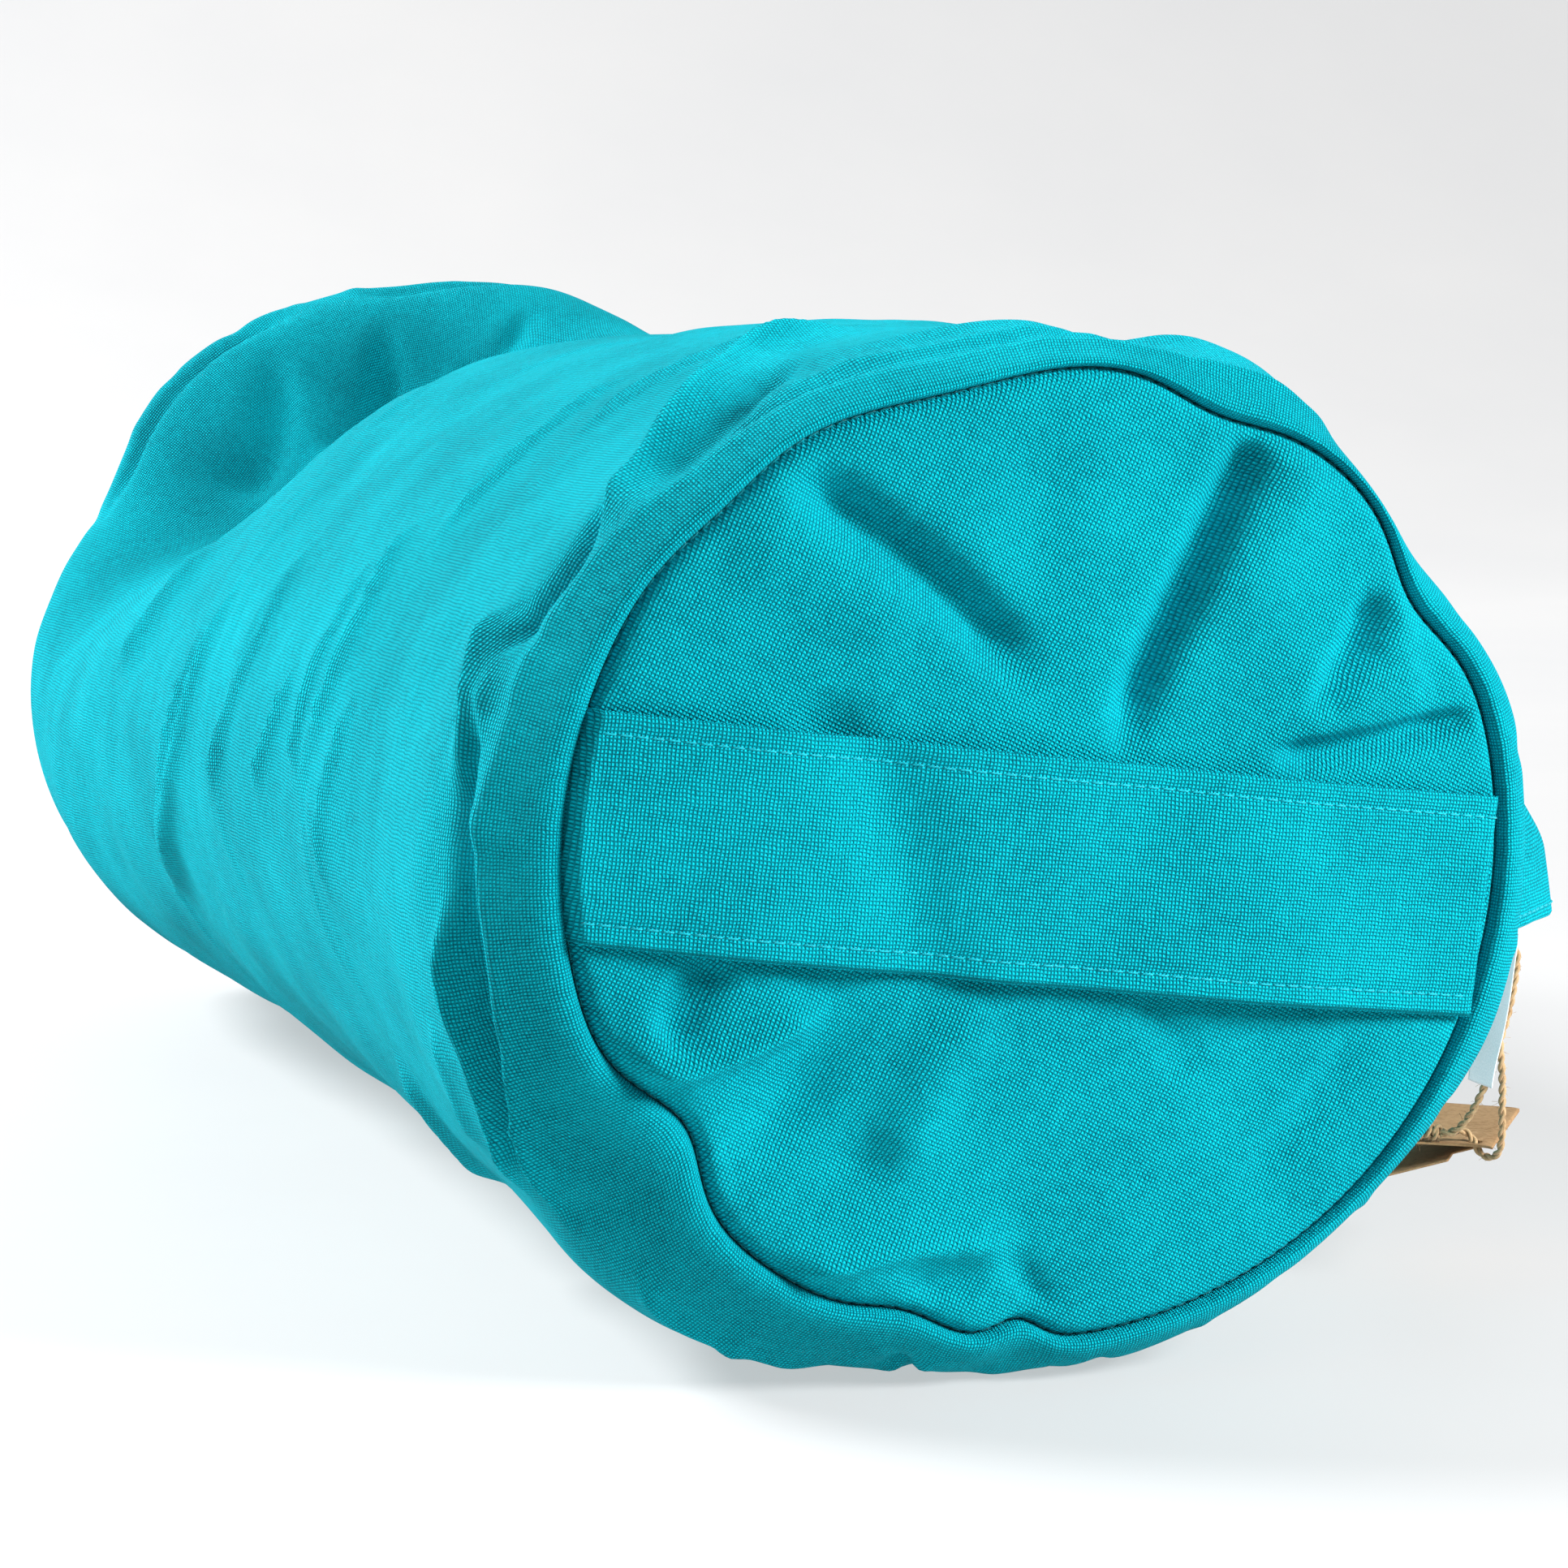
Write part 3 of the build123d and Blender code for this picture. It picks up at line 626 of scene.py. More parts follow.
def side_points(degrees, s, inset=0.0, detail=True):
    """Points of the side cloth at angles (degrees) and distances from the near seam (mm)."""
    theta = np.radians(degrees)
    full = full_radius(theta)
    weight = smoothstep(50, 92, degrees % 360) * (1 - smoothstep(138, 188, degrees % 360))
    full = full - crest_drop(s) * MM * weight
    for angle, place, width, length, height in SETTLED:
        full = full + height * MM * bell(degrees_apart(degrees, angle), 0, width) * bell(s, place, length)
    if detail:
        relief = fold_sum(degrees, s, SIDE_FOLDS)
        relief += 1.5 * soft_noise(degrees / 20, s / 46, 3, 18)
        relief += 0.5 * soft_noise(degrees / 7.2, s / 17, 4, 50)
        full = full + relief * MM * zip_calm(degrees, s)
    if inset:
        full = full + np.minimum(fold_sum(degrees, s, NEAR_FOLDS + DENT_FOLDS), 0) * MM
    near = np.clip(s / ROUNDING_MM, 0, 1)
    far = np.clip((LENGTH_MM - s) / ROUNDING_MM, 0, 1)
    rise = np.sqrt(1 - (1 - np.minimum(near, far)) ** 2)
    seam = np.where(s < LENGTH_MM / 2, seam_radius(degrees, False), seam_radius(degrees, True))
    radius = seam + (full - seam) * rise - inset
    down = np.sin(theta)
    floor = np.where(down < -0.2, (AXIS_Z - inset * 0.9) / -np.minimum(down, -0.2), 1.0)
    radius = radius - np.maximum(0, FLOOR_EASE - (floor - radius)) ** 2 / (4 * FLOOR_EASE)
    radius = np.minimum(radius, floor)
    forward = roll_bulge(s) - roll_bulge(LENGTH_MM - s)
    reach = HALF_LENGTH - SEAM_RECESS
    y = -reach + 2 * reach * s / LENGTH_MM - ROLL_REACH * forward
    if inset:
        y = np.clip(y, -reach + inset, reach - inset)
    return np.stack([radius * np.cos(theta), y, AXIS_Z + radius * np.sin(theta)], -1)


SIDE_FOLDS = (NEAR_FOLDS + BODY_FOLDS + DENT_FOLDS + random_puckers(11, 26, 1.0, False)
              + random_puckers(12, 30, 0.6, True) + random_rings(13, 46))


def end_points(degrees, share, far, inset=0.0, detail=True):
    """Points of an end cloth. share runs from 0 at its middle to 1 at the seam."""
    theta = np.radians(degrees)
    rim = seam_radius(degrees, far) - inset
    radius = rim * share
    x = radius * np.cos(theta)
    z = AXIS_Z + radius * np.sin(theta)
    from_seam = (rim - radius) / MM
    puff = SEAM_PUFF * (1 - np.exp(-from_seam / 1.2)) + MIDDLE_PUFF * (1 - share**2)
    if detail:
        folds = FAR_END_FOLDS if far else END_FOLDS
        relief = end_fold_sum(x / MM, z / MM, folds)
        relief += 0.55 * soft_noise(x / 0.021 + 9, z / 0.021, 5)
        relief += 0.25 * soft_noise(x / 0.009, z / 0.009, 6)
        relief = relief * smoothstep(0, 7, from_seam)
        puff = puff + relief
        if not far:  # the strap holds it back
            along = x * math.cos(STRAP_ROLL) - (z - AXIS_Z) * math.sin(STRAP_ROLL)
            across = x * math.sin(STRAP_ROLL) + (z - AXIS_Z) * math.cos(STRAP_ROLL)
            behind = 1 - smoothstep(STRAP_HALF_WIDTH - 0.002, STRAP_HALF_WIDTH + 0.006, np.abs(across))
            bow = STRAP_STANDOFF + STRAP_BOW * (1 - np.clip(along / STRAP_HALF_CHORD, -1, 1) ** 2)
            room = (bow + SEAM_RECESS) / MM - 1.2
            puff = puff * (1 - behind) + np.minimum(puff, room) * behind
        puff = np.minimum(puff, MOST_PUFF)
    y = HALF_LENGTH - SEAM_RECESS - inset * 1.6 + puff * MM
    return np.stack([x, y if far else -y, z], -1)


def side_rows():
    """Distances from the near seam (mm): close together near the folded ends."""
    turned = ROUNDING_MM * (1 - np.cos(np.radians(np.arange(0, 76, 1.3))))
    near = np.arange(turned[-1] + 1, 80, 1.2)
    middle = np.arange(80, 510, 2.4)
    far = np.arange(510, LENGTH_MM - turned[-1], 1.6)
    return np.unique(np.concatenate([turned, near, middle, far, LENGTH_MM - turned, ZIP_ROWS]))


zip_low, zip_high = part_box("zip_tape_lower")[0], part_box("zip_tape_upper")[1]
SLOT_Y = (zip_low.y - 0.006, zip_high.y + 0.006)
SLOT_Z = (0.091, 0.107)
BARTACK_Z = (AXIS_Z - 0.0156, AXIS_Z - 0.0036)


def y_to_s(y):
    return (y + HALF_LENGTH) / HALF_LENGTH * LENGTH_MM / 2


def z_to_degrees(z):
    t = math.asin((z - AXIS_Z) / HALF_HEIGHT)
    return math.degrees(math.atan2(HALF_HEIGHT * math.sin(t), HALF_WIDTH * math.cos(t)))


ZIP_ROWS = [y_to_s(y) for y in SLOT_Y]
ZIP_ANGLES = [z_to_degrees(z) for z in SLOT_Z]


def side_columns():
    return np.unique(np.round(np.concatenate([np.linspace(-180, 180, 601)[:-1], ZIP_ANGLES]), 4))


def cloth_uv(degrees, points):
    """UVs in metres: round the body from below it, and the cloth's own length from the near seam."""
    steps = np.linalg.norm(np.diff(points, axis=1), axis=2)
    length = np.concatenate([np.zeros((len(points), 1)), np.cumsum(steps, axis=1)], axis=1)
    kernel = bell(np.arange(-10, 11), 0, 5.0)[:, None]
    wrapped = np.concatenate([length[-10:], length, length[:10]])
    length = sum(k * wrapped[i : i + len(length)] for i, k in enumerate(kernel / kernel.sum()))
    return np.stack([np.radians((degrees + 90) % 360) * WRAP_RADIUS, length], -1)


def make_side_cloth():
    degrees, s = side_columns(), side_rows()
    a, b = np.meshgrid(degrees, s, indexing="ij")
    points = side_points(a, b)
    uv = cloth_uv(a, points)
    rows, columns = a.shape
    faces = grid_faces(rows, columns, closed=True, flip=True)
    mid_a = a.ravel()[faces].mean(1)
    mid_s = b.ravel()[faces].mean(1)
    wraps = np.ptp(a.ravel()[faces], axis=1) > 180
    in_slot = (mid_a > ZIP_ANGLES[0]) & (mid_a < ZIP_ANGLES[1])
    in_slot &= (mid_s > ZIP_ROWS[0]) & (mid_s < ZIP_ROWS[1])
    faces = faces[~in_slot | wraps]
    obj = mesh_object("side_cloth", points, faces, canvas, uv)
    unwrap_seam(obj)
    thicken(obj, CANVAS_THICKNESS, -1.0)
    stand_in(obj, "root", "side_panel")


def unwrap_seam(obj):
    """Where the grid closes round the body, the UVs run on instead of jumping back."""
    layer = obj.data.uv_layers["cloth"].data
    turn = 2 * math.pi * WRAP_RADIUS
    values = np.zeros(len(layer) * 2)
    layer.foreach_get("uv", values)
    values = values.reshape(-1, 4, 2)
    jump = np.ptp(values[:, :, 0], axis=1) > turn / 2
    values[jump, :, 0] += np.where(values[jump, :, 0] < turn / 2, turn, 0)
    layer.foreach_set("uv", values.ravel())


def make_end_cloth(far):
    degrees = side_columns()
    share = [np.linspace(0.0, 0.9, 66), np.linspace(0.905, 0.99, 18), np.linspace(0.992, 1.0, 7)]
    a, b = np.meshgrid(degrees, np.concatenate(share), indexing="ij")
    points = end_points(a, b, far)
    c, s = math.cos(END_WEAVE_TURN), math.sin(END_WEAVE_TURN)
    uv = np.stack([points[..., 0] * c - points[..., 2] * s, points[..., 0] * s + points[..., 2] * c], -1)
    faces = grid_faces(*a.shape, closed=True, flip=far)
    end = "far_end" if far else "near_end"
    obj = mesh_object(f"{end}_cloth", points, faces, canvas, uv)
    weld(obj)
    stand_in(obj, "root", f"{end}_panel")


make_side_cloth()
make_end_cloth(False)
make_end_cloth(True)


# ---- Inner pillow ------------------------------------------------------------------
LINER_INSET = 0.0085
FILLING_INSET = 0.0105


def make_inner(inset, material, body, ends):
    """Closed copy of the cover's shape, drawn in by inset, as pairs of a name and the CAD node replaced."""
    degrees = np.linspace(-180, 180, 121)[:-1]
    s = [np.linspace(0, 30, 9), np.linspace(40, 560, 60), np.linspace(570, LENGTH_MM, 9)]
    a, b = np.meshgrid(degrees, np.concatenate(s), indexing="ij")
    points = side_points(a, b, inset, detail=False)
    faces = grid_faces(*a.shape, closed=True, flip=True)
    name, node = body
    obj = mesh_object(name, points, faces, material, cloth_uv(a, points))
    stand_in(obj, "root", node)
    a, b = np.meshgrid(degrees, np.linspace(0, 1, 12), indexing="ij")
    for far, (name, node) in zip((False, True), ends):
        points = end_points(a, b, far, inset, detail=False)
        points[..., 1] *= 1 - 0.008 * (1 - b)
        faces = grid_faces(*a.shape, closed=True, flip=far)
        obj = mesh_object(name, points, faces, material, points[..., ::2])
        weld(obj)
        stand_in(obj, "root", node)


make_inner(LINER_INSET, liner_cotton, ("liner_side", "liner_tube"),
           [("liner_near_cloth", "liner_near_end"), ("liner_far_cloth", "liner_far_end")])
make_inner(FILLING_INSET, hulls, ("hull_fill_body", "hull_filling"),
           [("hull_fill_near", None), ("hull_fill_far", None)])


# ---- Carry strap -------------------------------------------------------------------
# Its waves: height outward, place and width along it, and how much they slant across it.
STRAP_WAVES = [(0.0026, 0.052, 0.024, 0), (-0.0036, -0.034, 0.010, 0.35), (0.0018, -0.066, 0.013, 0),
               (-0.0016, 0.012, 0.012, -0.3)]


def strap_frame(along, across, lift):
    """Point of the strap: metres along its chord, across its width, and off its back face."""
    share = np.clip(along / STRAP_HALF_CHORD, -1, 1)
    bow = STRAP_BOW * (1 - share**2)
    c, s = math.cos(STRAP_ROLL), math.sin(STRAP_ROLL)
    x, z = along * c + across * s, AXIS_Z - along * s + across * c
    to_seam = seam_radius(np.degrees(np.arctan2(z - AXIS_Z, x)), False) - np.hypot(x, z - AXIS_Z)
    sink = STRAP_SINK * smoothstep(0.0022, -0.0022, to_seam) * (along < 0)
    wave = 0.0005 * soft_noise(along / 0.022 + 3, across / 0.05 + 7, 21)
    for height, place, width, slant in STRAP_WAVES:
        wave = wave + height * bell(along + slant * across, place, width)
    y = -(STRAP_BACK + bow + lift + wave * (1 - share**4) - sink)
    return np.stack([x, y, z], -1)


def strap_outline():
    """Section of the strap as (across, lift): two layers with folded edges, drawn in at the stitches."""
    half, thick = STRAP_HALF_WIDTH, STRAP_THICKNESS
    row = half - STRAP_STITCH_INSET
    front = []
    for w in np.linspace(-half + 0.0009, half - 0.0009, 60):
        sunk = 0.00045 * (bell(w, row, 0.0011) + bell(w, -row, 0.0011))
        middle = 0.0002 * math.cos(w / half * 1.4)
        front.append((w, thick - 0.0002 - sunk + middle))
    edge = [(half - 0.0004, thick - 0.0006), (half, thick * 0.5), (half - 0.0004, 0.0005)]
    back = [(w, 0.0) for w in np.linspace(half - 0.0012, -half + 0.0012, 24)]
    other = [(-half + 0.0004, 0.0005), (-half, thick * 0.5), (-half + 0.0004, thick - 0.0006)]
    return np.array(front + edge + back + other)


def distances_along(outline):
    """The length of an outline up to each of its points."""
    return np.concatenate([[0], np.cumsum(np.hypot(*np.diff(outline, axis=0).T))])


def make_strap_half(name, start, end):
    along = np.linspace(start, end, 130)
    outline = strap_outline()
    a, w = np.meshgrid(along, outline[:, 0], indexing="ij")
    end_round = smoothstep(STRAP_HALF_CHORD, STRAP_HALF_CHORD - 0.0012, a)
    middle = STRAP_THICKNESS / 2
    points = strap_frame(a, w, (outline[:, 1] - middle) * (0.35 + 0.65 * end_round) + middle)
    uv = np.stack(np.meshgrid(along, distances_along(outline), indexing="ij"), -1)
    # The right half's end is closed. The left half's is out of sight in the seam, and stays open.
    faces = ring_faces(len(along), len(outline), first_cap=False, last_cap=end > 0)
    obj = mesh_object(name, points, faces, canvas, uv)
    return obj


def make_strap_stitches(name, start, end):
    lines = []
    row = STRAP_HALF_WIDTH - STRAP_STITCH_INSET
    along = np.linspace(start, end, 300)
    for w in (-row, row):
        lines += stitches(strap_frame(along, w, STRAP_THICKNESS - 0.00055), (0, -1, 0))
    obj = tube_object(name, lines, STITCH_THICKNESS / 2, 6, teal_thread)
    return obj


for side, sign in (("left", -1), ("right", 1)):
    limits = (-STRAP_HALF_CHORD - STRAP_TUCK, 0.0) if sign < 0 else (0.0, STRAP_HALF_CHORD)
    half = make_strap_half(f"strap_{side}", *limits)
    thread = make_strap_stitches(f"strap_stitches_{side}", limits[0] + STRAP_TUCK * (sign < 0), limits[1])
    for piece in (half, thread):
        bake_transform(piece)
    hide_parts("carry_strap")
    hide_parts("strap_stitching")


# ---- Zip, flap and label -----------------------------------------------------------
def finish_node(name, material):
    """Gives its material to a CAD node that stays visible."""
    obj = nodes[name]
    obj.data.materials.clear()
    obj.data.materials.append(material)


def node_uv(name):
    """UVs in metres for a CAD strip that runs along the side: round the body and along it."""
    mesh = nodes[name].data
    layer = mesh.uv_layers.get("cloth") or mesh.uv_layers.new(name="cloth")
    corner = np.zeros(len(mesh.loops), int)
    mesh.loops.foreach_get("vertex_index", corner)
    co = np.array([v.co for v in mesh.vertices])[corner]
    layer.data.foreach_set("uv", np.stack([co[:, 2], co[:, 1]], -1).ravel())


for name in ("zip_tape_lower", "zip_tape_upper"):
    finish_node(name, tape_cloth)
    node_uv(name)
for name in ("zip_slider", "pull_ring", "zip_top_stops", "zip_bottom_stop"):
    finish_node(name, plated)
finish_node("pull_tab", lacquer)


COIL_PITCH = 0.0013
COIL_WIRE = 0.0006


def make_coil(side):
    """Nylon coil of the zip, as a real helix whose loops reach towards the other side's."""
    low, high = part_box(f"zip_coil_{side}")
    inward = 1 if side == "lower" else -1
    centre_x, centre_z = (low.x + high.x) / 2, (low.z + high.z) / 2 + inward * 0.00013
    t = np.arange(0, (high.y - low.y - 0.001) / COIL_PITCH, 0.1)
    angle = 2 * math.pi * (t + (0.5 if inward > 0 else 0))
    reach = (high.x - low.x) / 2 - 0.00022
    line = np.stack([centre_x + reach * np.cos(angle), low.y + 0.0005 + t * COIL_PITCH,
                     centre_z + (reach + 0.0001) * np.sin(angle)], -1)
    obj = tube_object(f"zip_coil_{side}_teeth", [line], COIL_WIRE / 2, 5, nylon)
    stand_in(obj, "root", f"zip_coil_{side}")


make_coil("lower")
make_coil("upper")


def make_bartacks():
    """Dense zigzag bars of thread across both ends of the slot."""
    zs = np.linspace(*BARTACK_Z, 27)
    x = HALF_WIDTH * np.sqrt(1 - ((zs - AXIS_Z) / HALF_HEIGHT) ** 2) + 0.0002
    swing = np.where(np.arange(27) % 2, 0.0009, -0.0009)
    lines = [np.stack([x, y + swing, zs], -1) for y in (SLOT_Y[0] - 0.002, SLOT_Y[1] + 0.002)]
    obj = tube_object("zip_bartack_thread", lines, 0.00026, 6, teal_thread)
    stand_in(obj, "root", "zip_bartacks")


make_bartacks()

FLAP_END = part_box("zip_flap")[1].y
FLAP_START = -0.2945          # its near end is caught in the end seam
FLAP_TOP_EDGE = (0.1266, 0.118)
FLAP_HEM_EDGE = (0.1318, 0.088)
FLAP_THICKNESS = 0.0016
FLAP_WIDTH = 0.0304
# Towards the near seam the sewn edge follows the cover, and the hem stays clear of the pull for longer.
SEWN_EDGE_SWEEP = (0.0325, -0.2455, 0.05, 1.8)
HEM_SWEEP = (0.0307, -0.2585, 0.036, 1.6)


def swept(y, reach, start, length, power):
    """How far the flap has swept inward at y."""
    return reach * np.clip((start - y) / length, 0, 1) ** power


def flap_point(y, drop, lift):
    """Point of the flap: along the bolster, share of the way down, and off its back face."""
    x0, z0 = FLAP_TOP_EDGE
    x1, z1 = FLAP_HEM_EDGE
    ripple = 0.0011 * soft_noise(y / 0.045 + 20, drop * 0.6, 31) * drop**1.5
    ends = 0.0006 * smoothstep(0.012, 0, FLAP_END - y) * drop
    sewn, hem = swept(y, *SEWN_EDGE_SWEEP), swept(y, *HEM_SWEEP)
    hem = hem + 0.0032 * drop**3 * smoothstep(0.262, 0.274, -y)
    sweep = sewn + (hem - sewn) * smoothstep(0.0, 0.5, drop)
    x = x0 + (x1 - x0) * drop + lift + ripple - ends - 0.0016 * (1 - drop) ** 6 - sweep
    z = z0 + (z1 - z0) * drop + 0.0006 * soft_noise(y / 0.03, drop * 0 + 4, 32) * drop
    return np.stack([x, y, z], -1)


def bend_flap(piece):
    """Bakes the piece's transform into its points."""
    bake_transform(piece)


def make_flap():
    """Folded strip of canvas that hangs over the zip from its sewn top edge."""
    ys = np.linspace(FLAP_START, FLAP_END, 340)
    outline = [(d, FLAP_THICKNESS * (1 - 0.12 * bell(d, 0.1, 0.03))) for d in np.linspace(0.01, 0.97, 24)]
    outline += [(0.995, FLAP_THICKNESS * 0.72), (1.0, FLAP_THICKNESS * 0.4), (0.985, 0.0001)]
    outline += [(d, 0.0) for d in np.linspace(0.95, 0.01, 16)] + [(0.0, FLAP_THICKNESS * 0.5)]
    outline = np.array(outline)
    y, drop = np.meshgrid(ys, outline[:, 0], indexing="ij")
    points = flap_point(y, drop, outline[:, 1])
    around = np.broadcast_to(distances_along(outline * (FLAP_WIDTH, 1)), y.shape)
    faces = ring_faces(len(ys), len(outline), flip=True)
    obj = mesh_object("zip_flap_cloth", points, faces, canvas, np.stack([around, y], -1))
    bend_flap(obj)
    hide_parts("zip_flap")
    lines = []
    y = np.linspace(FLAP_START + 0.001, FLAP_END - 0.001, 1400)
    for drop in (0.1, 0.9):
        lines += stitches(flap_point(y, np.full(1400, drop), FLAP_THICKNESS), (1, 0, 0))
    thread = tube_object("zip_flap_stitches", lines, STITCH_THICKNESS / 2, 5, teal_thread)
    bend_flap(thread)
    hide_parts("flap_stitching")


make_flap()


def satin_finish():
    """Ribbed white satin that lets some light through."""
    n = Nodes("label_satin", 0.38, 0.2, 0.4)
    uv = n.add("ShaderNodeUVMap", uv_map="cloth")
    split = n.add("ShaderNodeSeparateXYZ")
    n.link(uv.outputs["UV"], split.inputs[0])
    rib_pitch = 0.0003
    ribs = n.math("SINE", n.math("MULTIPLY", split.outputs["X"], 2 * math.pi / rib_pitch))
    fine = n.noise(uv.outputs["UV"], 2500.0, 3.0)
    shade = n.math("ADD", n.math("MULTIPLY", ribs, 0.14), fine)
    n.shader.inputs["Subsurface Weight"].default_value = 0.5
    n.shader.inputs["Subsurface Radius"].default_value = (1, 1, 1)
    n.shader.inputs["Subsurface Scale"].default_value = 0.003
    colour = n.ramp(shade, [(0.3, (0.52, 0.66, 0.72)), (0.7, (0.70, 0.80, 0.84))])
    return n.finish(colour, n.bump(shade, 0.00003))


def make_label():
    """Narrow satin label sewn to the lower tape, hanging behind the flap."""
    low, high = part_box("care_label")
    y, drop = np.meshgrid(np.linspace(low.y, high.y, 26), np.linspace(0, 1, 70), indexing="ij")
    curl = 0.0009 * np.sin(drop * 5.2) * drop + 0.0005 * soft_noise(y / 0.008, drop * 3, 41) * drop
    x = high.x - (high.x - low.x) * drop + curl
    z = high.z - (high.z - low.z) * drop
    points = np.stack([x, y, z], -1)
    obj = mesh_object("care_label_satin", points, grid_faces(*y.shape), satin_finish(), points[..., 1:])
    thicken(obj, 0.00022, 0.0)
    stand_in(obj, "label", "care_label")
    line = np.stack([np.full(60, high.x + 0.0002), np.linspace(low.y + 0.0008, high.y - 0.0008, 60),
                     np.full(60, high.z - 0.002)], -1)
    lines = stitches(line, (1, 0, 0), 0.0003, 0.0018, 0.0006)
    thread = tube_object("care_label_stitches", lines, 0.00015, 6, white_thread)
    stand_in(thread, "label", "label_stitching")


make_label()


# ---- Seam stitches and the liner's closing seam ------------------------------------
def make_seam_stitches(far):
    """Stitches down in the groove of an end seam, in a darker copy of the teal thread that paints the
    groove's shade.
    """
    line = end_points(np.linspace(-180, 180, 1600), np.full(1600, 0.9982), far)
    out = (0, 1, 0) if far else (0, -1, 0)
    end = "far" if far else "near"
    obj = tube_object(f"{end}_seam_stitches", stitches(line, out), STITCH_THICKNESS / 2, 5, seam_thread)
    stand_in(obj, "root", f"{end}_seam_stitching")


make_seam_stitches(False)
make_seam_stitches(True)


def make_liner_seam():
    """Slanted hand stitches that close the liner."""
    slant, reach = np.array([179.2, 180.0, 180.8]), np.array([0.0, 1.0, 2.0])
    lines = [side_points(slant, place + reach, LINER_INSET - 0.0002, detail=False)
             for place in np.arange(200, 400, 3.2)]
    obj = tube_object("liner_seam_thread", lines, 0.0003, 6, white_thread)
    stand_in(obj, "root", "liner_closing_seam")


make_liner_seam()


# ---- Swing tag ---------------------------------------------------------------------
CARD_CORNER = np.array([0.128, -0.243, 0.0326])
CARD_ANGLE = math.radians(57.4)
CARD_FOLD = 0.050
CARD_LEAF = 0.028
CARD_THICKNESS = 0.0005
CARD_HOLE = (0.004, 0.0045)   # along the fold and across from it
CARD_HOLE_RADIUS = 0.0017
CARD_OPENING = math.radians(17)
ALONG_FOLD = np.array([math.cos(CARD_ANGLE), math.sin(CARD_ANGLE), 0.0])
ACROSS_LEAF = np.array([-math.sin(CARD_ANGLE), math.cos(CARD_ANGLE), 0.0])
UP = np.array([0.0, 0.0, 1.0])


def punch(u, v, quads):
    """Takes a round hole out of a leaf's grid, and draws the points beside it to its edge."""
    (hole_u, hole_v), radius = CARD_HOLE, CARD_HOLE_RADIUS
    mid_u, mid_v = u.ravel()[quads].mean(1), v.ravel()[quads].mean(1)
    quads = quads[np.hypot(mid_u - hole_u, mid_v - hole_v) > radius]
    away = np.hypot(u - hole_u, v - hole_v)
    beside = (away > radius * 0.6) & (away < radius * 1.35)
    scale = np.where(beside, radius / np.maximum(away, 1e-6), 1.0)
    return hole_u + (u - hole_u) * scale, hole_v + (v - hole_v) * scale, quads


def make_leaf(upper):
    """One leaf of the card: the upper one has the hole, and the lower one a notch under it."""
    u, v = np.meshgrid(np.linspace(0, CARD_FOLD, 101), np.linspace(0, CARD_LEAF, 57), indexing="ij")
    quads = grid_faces(*u.shape)
    if upper:
        u, v, quads = punch(u, v, quads)
    curl = 0.0006 * (v / CARD_LEAF) ** 2 * (u / CARD_FOLD) + 0.0003 * np.sin(u / CARD_FOLD * 3.0)
    if upper:
        across, lift = v, CARD_THICKNESS / 2 + curl - 0.00036 * np.exp(-v / 0.0012)
    else:
        across, lift = np.cos(CARD_OPENING) * v, curl * 0.5 - np.sin(CARD_OPENING) * v - 0.0003
        notch = (u < 0.009) & (v < 0.011)
        quads = quads[~notch.ravel()[quads].all(1)]
    flat = CARD_CORNER + u[..., None] * ALONG_FOLD + across[..., None] * ACROSS_LEAF
    points = flat + lift[..., None] * UP
    side = "upper" if upper else "lower"
    obj = mesh_object(f"card_{side}", points, quads, kraft, np.stack([u, v], -1))
    thicken(obj, 0.00042, 0.0)
    stand_in(obj, "swing_tag" if upper else "tag_leaf", f"card_{side}_leaf")


make_leaf(True)
make_leaf(False)

# The strands' routes, in mm, from the hole in the pull tab to the knot.
LOOP_TOP = (127.7, -248.0, 79.6)
FRONT_STRAND = [
    LOOP_TOP, (129.4, -248.0, 79.6), (130.7, -248.0, 78.3), (130.9, -247.9, 75.4),
    (130.4, -247.4, 70.0), (129.3, -246.8, 63.0), (127.4, -245.8, 56.2), (126.0, -244.9, 49.8),
    (124.3, -243.4, 44.2), (123.0, -241.4, 40.0), (121.6, -239.3, 36.9), (119.98, -237.15, 35.3),
    (118.34, -236.1, 35.3),
]
BACK_STRAND = [
    LOOP_TOP, (126.0, -248.0, 79.6), (124.7, -248.1, 78.3), (124.6, -248.2, 75.4),
    (125.2, -248.4, 70.0), (126.5, -248.4, 63.0), (127.0, -248.1, 56.0), (128.1, -247.3, 49.0),
    (128.5, -246.5, 42.5), (128.9, -245.9, 37.0), (129.0, -245.2, 33.2), (128.7, -243.6, 30.9),
    (127.8, -240.9, 30.0), (126.7, -238.3, 31.0), (126.1, -236.9, 33.6), (124.9, -236.1, 35.3),
    (123.0, -235.9, 35.6), (121.0, -235.55, 35.3), (119.36, -234.5, 35.3),
]
TWINE = 0.0018
TWIST_PITCH = 0.0052
TWINE_STEP = 0.0003
FIBRE_RADIUS = 0.000035


def spline_line(points_mm):
    """Points along the NURBS spline that has the route's points as its control points."""
    curve = bpy.data.curves.new("route", "CURVE")
    curve.dimensions = "3D"
    spline = curve.splines.new("NURBS")
    spline.points.add(len(points_mm) - 1)
    for point, place in zip(spline.points, points_mm):
        point.co = (*[value * MM for value in place], 1)
    spline.order_u = 3
    spline.use_endpoint_u = True
    spline.resolution_u = 12
    holder = bpy.data.objects.new("route", curve)
    mesh = bpy.data.meshes.new_from_object(holder)
    line = np.array([v.co for v in mesh.vertices])
    bpy.data.objects.remove(holder)
    return line


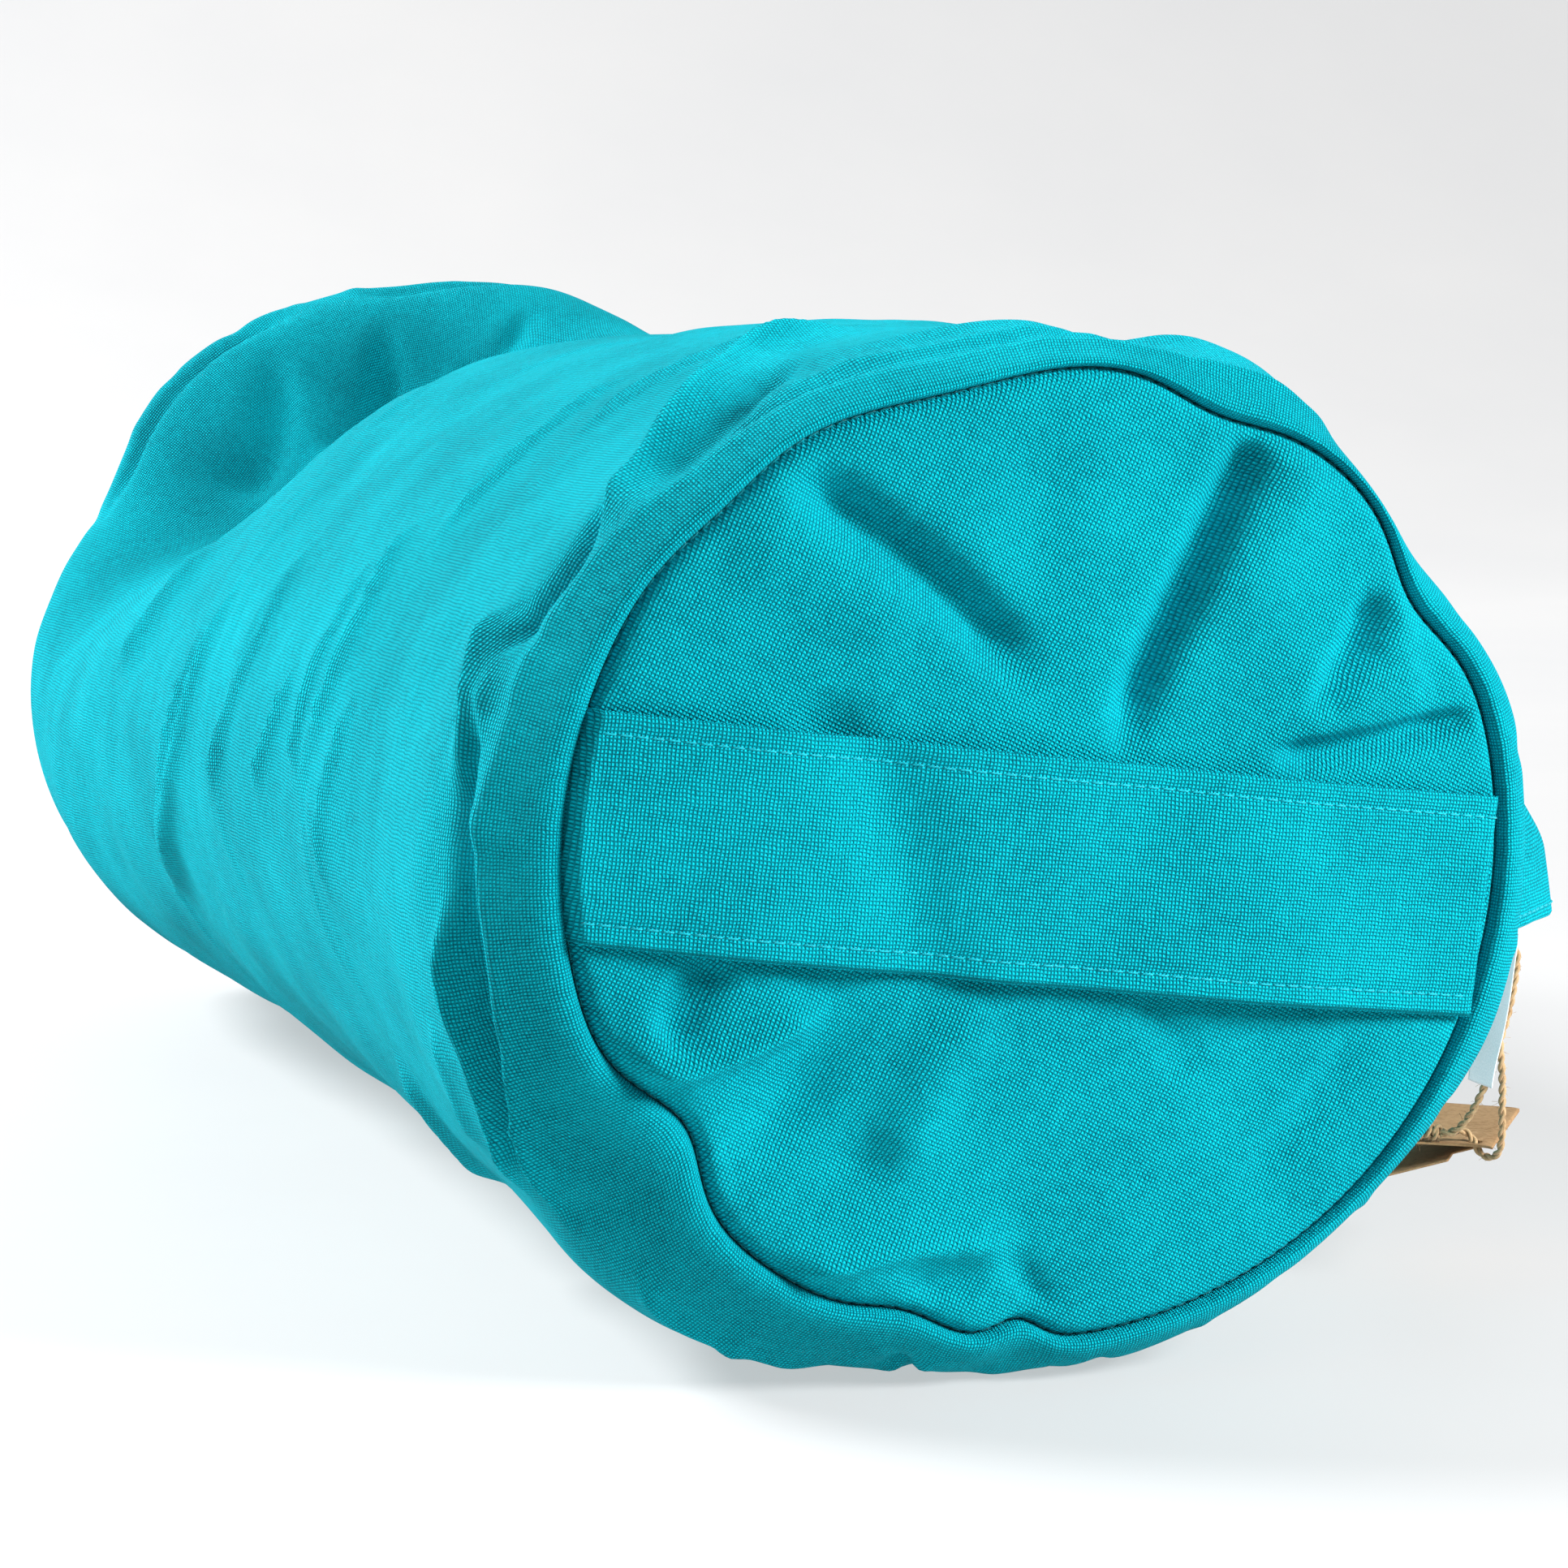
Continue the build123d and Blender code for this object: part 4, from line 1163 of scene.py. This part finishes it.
def frame_along(line):
    """A side and an up direction at each point of a line, turning as little as possible."""
    tangent = np.gradient(line, axis=0)
    tangent /= np.linalg.norm(tangent, axis=1)[:, None]
    side = np.cross(tangent[0], (0.31, 0.87, 0.12))
    sides, ups = [], []
    for t in tangent:
        side = side - t * side.dot(t)
        side = side / np.linalg.norm(side)
        sides.append(side)
        ups.append(np.cross(t, side))
    return np.array(sides), np.array(ups)


def ply_lines(line, diameter, phase=0.0):
    """Centre lines of the two plies that twist round each other along a line."""
    line = along_line(line, TWINE_STEP)
    sides, ups = frame_along(line)
    turn = np.arange(len(line)) * TWINE_STEP / TWIST_PITCH * 2 * math.pi + phase
    reach = diameter * 0.235
    return [line + reach * (np.cos(angle)[:, None] * sides + np.sin(angle)[:, None] * ups)
            for angle in (turn, turn + math.pi)]


def fibre_lines(line, count, seed, reach=0.0016):
    """Loose fibres that stand off a twine."""
    draw = np.random.default_rng(seed)
    line = along_line(line, TWINE_STEP)
    sides, ups = frame_along(line)
    found = []
    for _ in range(count):
        i = draw.integers(2, len(line) - 12)
        angle = draw.uniform(0, 2 * math.pi)
        out = math.cos(angle) * sides[i] + math.sin(angle) * ups[i]
        ahead = (line[i + 8] - line[i]) * draw.uniform(-0.6, 1.0)
        start = line[i] + out * TWINE * 0.4
        length = draw.uniform(0.3, 1.0) * reach
        bow = draw.normal(0, 0.35, 3) * length
        t = np.linspace(0, 1, 6)[:, None]
        found.append(start + (out * length + ahead * 0.4) * t + bow * t * t)
    return found


def make_twine(name, route, replaced, seed):
    line = spline_line(route)
    obj = tube_object(name, ply_lines(line, TWINE, phase=seed), TWINE * 0.275, 9, jute)
    hair = tube_object(f"{name}_fibres", fibre_lines(line, 70, seed), FIBRE_RADIUS, 4, jute)
    for piece in (obj, hair):
        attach(piece, "swing_tag")
    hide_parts(replaced)


make_twine("twine_front", FRONT_STRAND, "twine_front_strand", 1)
make_twine("twine_back", BACK_STRAND, "twine_back_strand", 2)


def make_knot():
    """Whipped knot: turns of twine round the two ends, and a frayed tail."""
    centre = np.array([0.1159, -0.2334, CARD_CORNER[2] + CARD_THICKNESS + 0.0022])
    turns, length, reach = 4.2, 0.0066, 0.00125
    t = np.linspace(-0.5, 0.5, 300)[:, None]
    angle = t * 2 * math.pi * turns
    across = np.cross(ACROSS_LEAF, UP)
    coil = centre + t * length * ACROSS_LEAF + reach * (np.cos(angle) * across + np.sin(angle) * UP)
    far = centre + ACROSS_LEAF * length * 0.45
    tail = smooth_path([centre - ACROSS_LEAF * 0.002, centre + ACROSS_LEAF * 0.002, far - UP * 0.0002,
                        far + ACROSS_LEAF * 0.0045 - UP * 0.0008,
                        far + ACROSS_LEAF * 0.0088 - UP * 0.0010 + across * 0.0012], 12)
    lines = ply_lines(coil, TWINE * 0.9) + ply_lines(tail, TWINE * 0.9, phase=1.0)
    obj = tube_object("twine_knot_whipping", lines, TWINE * 0.25, 9, jute)
    stand_in(obj, "swing_tag", "twine_knot")
    hairs = fibre_lines(coil, 50, 5) + fibre_lines(tail, 60, 6, 0.003)
    fray = tube_object("twine_knot_fibres", hairs, FIBRE_RADIUS, 4, jute)
    stand_in(fray, "swing_tag", None)


make_knot()


# ---- Camera, floor and light -------------------------------------------------------
CAMERA_PLACE = (-0.3369, -1.2136, 0.2376)
CAMERA_DOWN, CAMERA_RIGHT = 6.56, 17.06   # degrees


def make_camera():
    data = bpy.data.cameras.new("camera")
    data.lens = 110.1
    data.sensor_width = 36.0
    data.clip_end = 50.0
    camera = new_object("camera", data)
    camera.location = CAMERA_PLACE
    camera.rotation_euler = (math.radians(90 - CAMERA_DOWN), 0, math.radians(-CAMERA_RIGHT))
    bpy.context.scene.camera = camera


def make_floor():
    """Pale floor that sweeps up into a backdrop far behind."""
    n = Nodes("pale_floor", 0.55, 0.0, 0.3)
    mottled = n.noise(n.place(), 3.0, 4.0, 0.6)
    material = n.finish(n.ramp(mottled, [(0.3, (0.252, 0.255, 0.26)), (0.7, (0.28, 0.28, 0.28))]))
    n.shader.inputs["Emission Color"].default_value = (1, 1, 1, 1)
    n.shader.inputs["Emission Strength"].default_value = 0.5
    reach, bend, start = 6.0, 1.5, 1.6
    a = np.linspace(0, math.pi / 2, 24)
    y = np.concatenate([[-reach], start + bend * np.sin(a), [start + bend]])
    z = np.concatenate([[0.0], bend - bend * np.cos(a), [reach]]) - 0.0002
    x, y = np.meshgrid([-reach, reach], y, indexing="ij")
    points = np.stack([x, y, np.broadcast_to(z, x.shape)], -1)
    floor = mesh_object("floor", points, grid_faces(*x.shape), material)


def make_light(name, location, target, size, power, spread=180.0):
    data = bpy.data.lights.new(name, "AREA")
    data.shape = "DISK"
    data.size = size
    data.energy = power
    data.spread = math.radians(spread)
    light = new_object(name, data)
    light.location = location
    light.rotation_euler = (Vector(target) - Vector(location)).to_track_quat("-Z", "Y").to_euler()


def make_world():
    world = bpy.data.worlds.new("studio")
    bpy.context.scene.world = world
    world.use_nodes = True
    background = world.node_tree.nodes["Background"]
    background.inputs["Color"].default_value = (0.98, 0.99, 1.0, 1)
    background.inputs["Strength"].default_value = 0.23


make_camera()
make_floor()
make_world()
make_light("key", (-3.0, 2.0, 3.0), (0, 0, 0.1), 1.6, 470)
make_light("front", (0.74, -1.0, 0.6), (0.03, -0.3, 0.06), 0.45, 3.6, 66)
bpy.context.scene.view_settings.view_transform = "Standard"
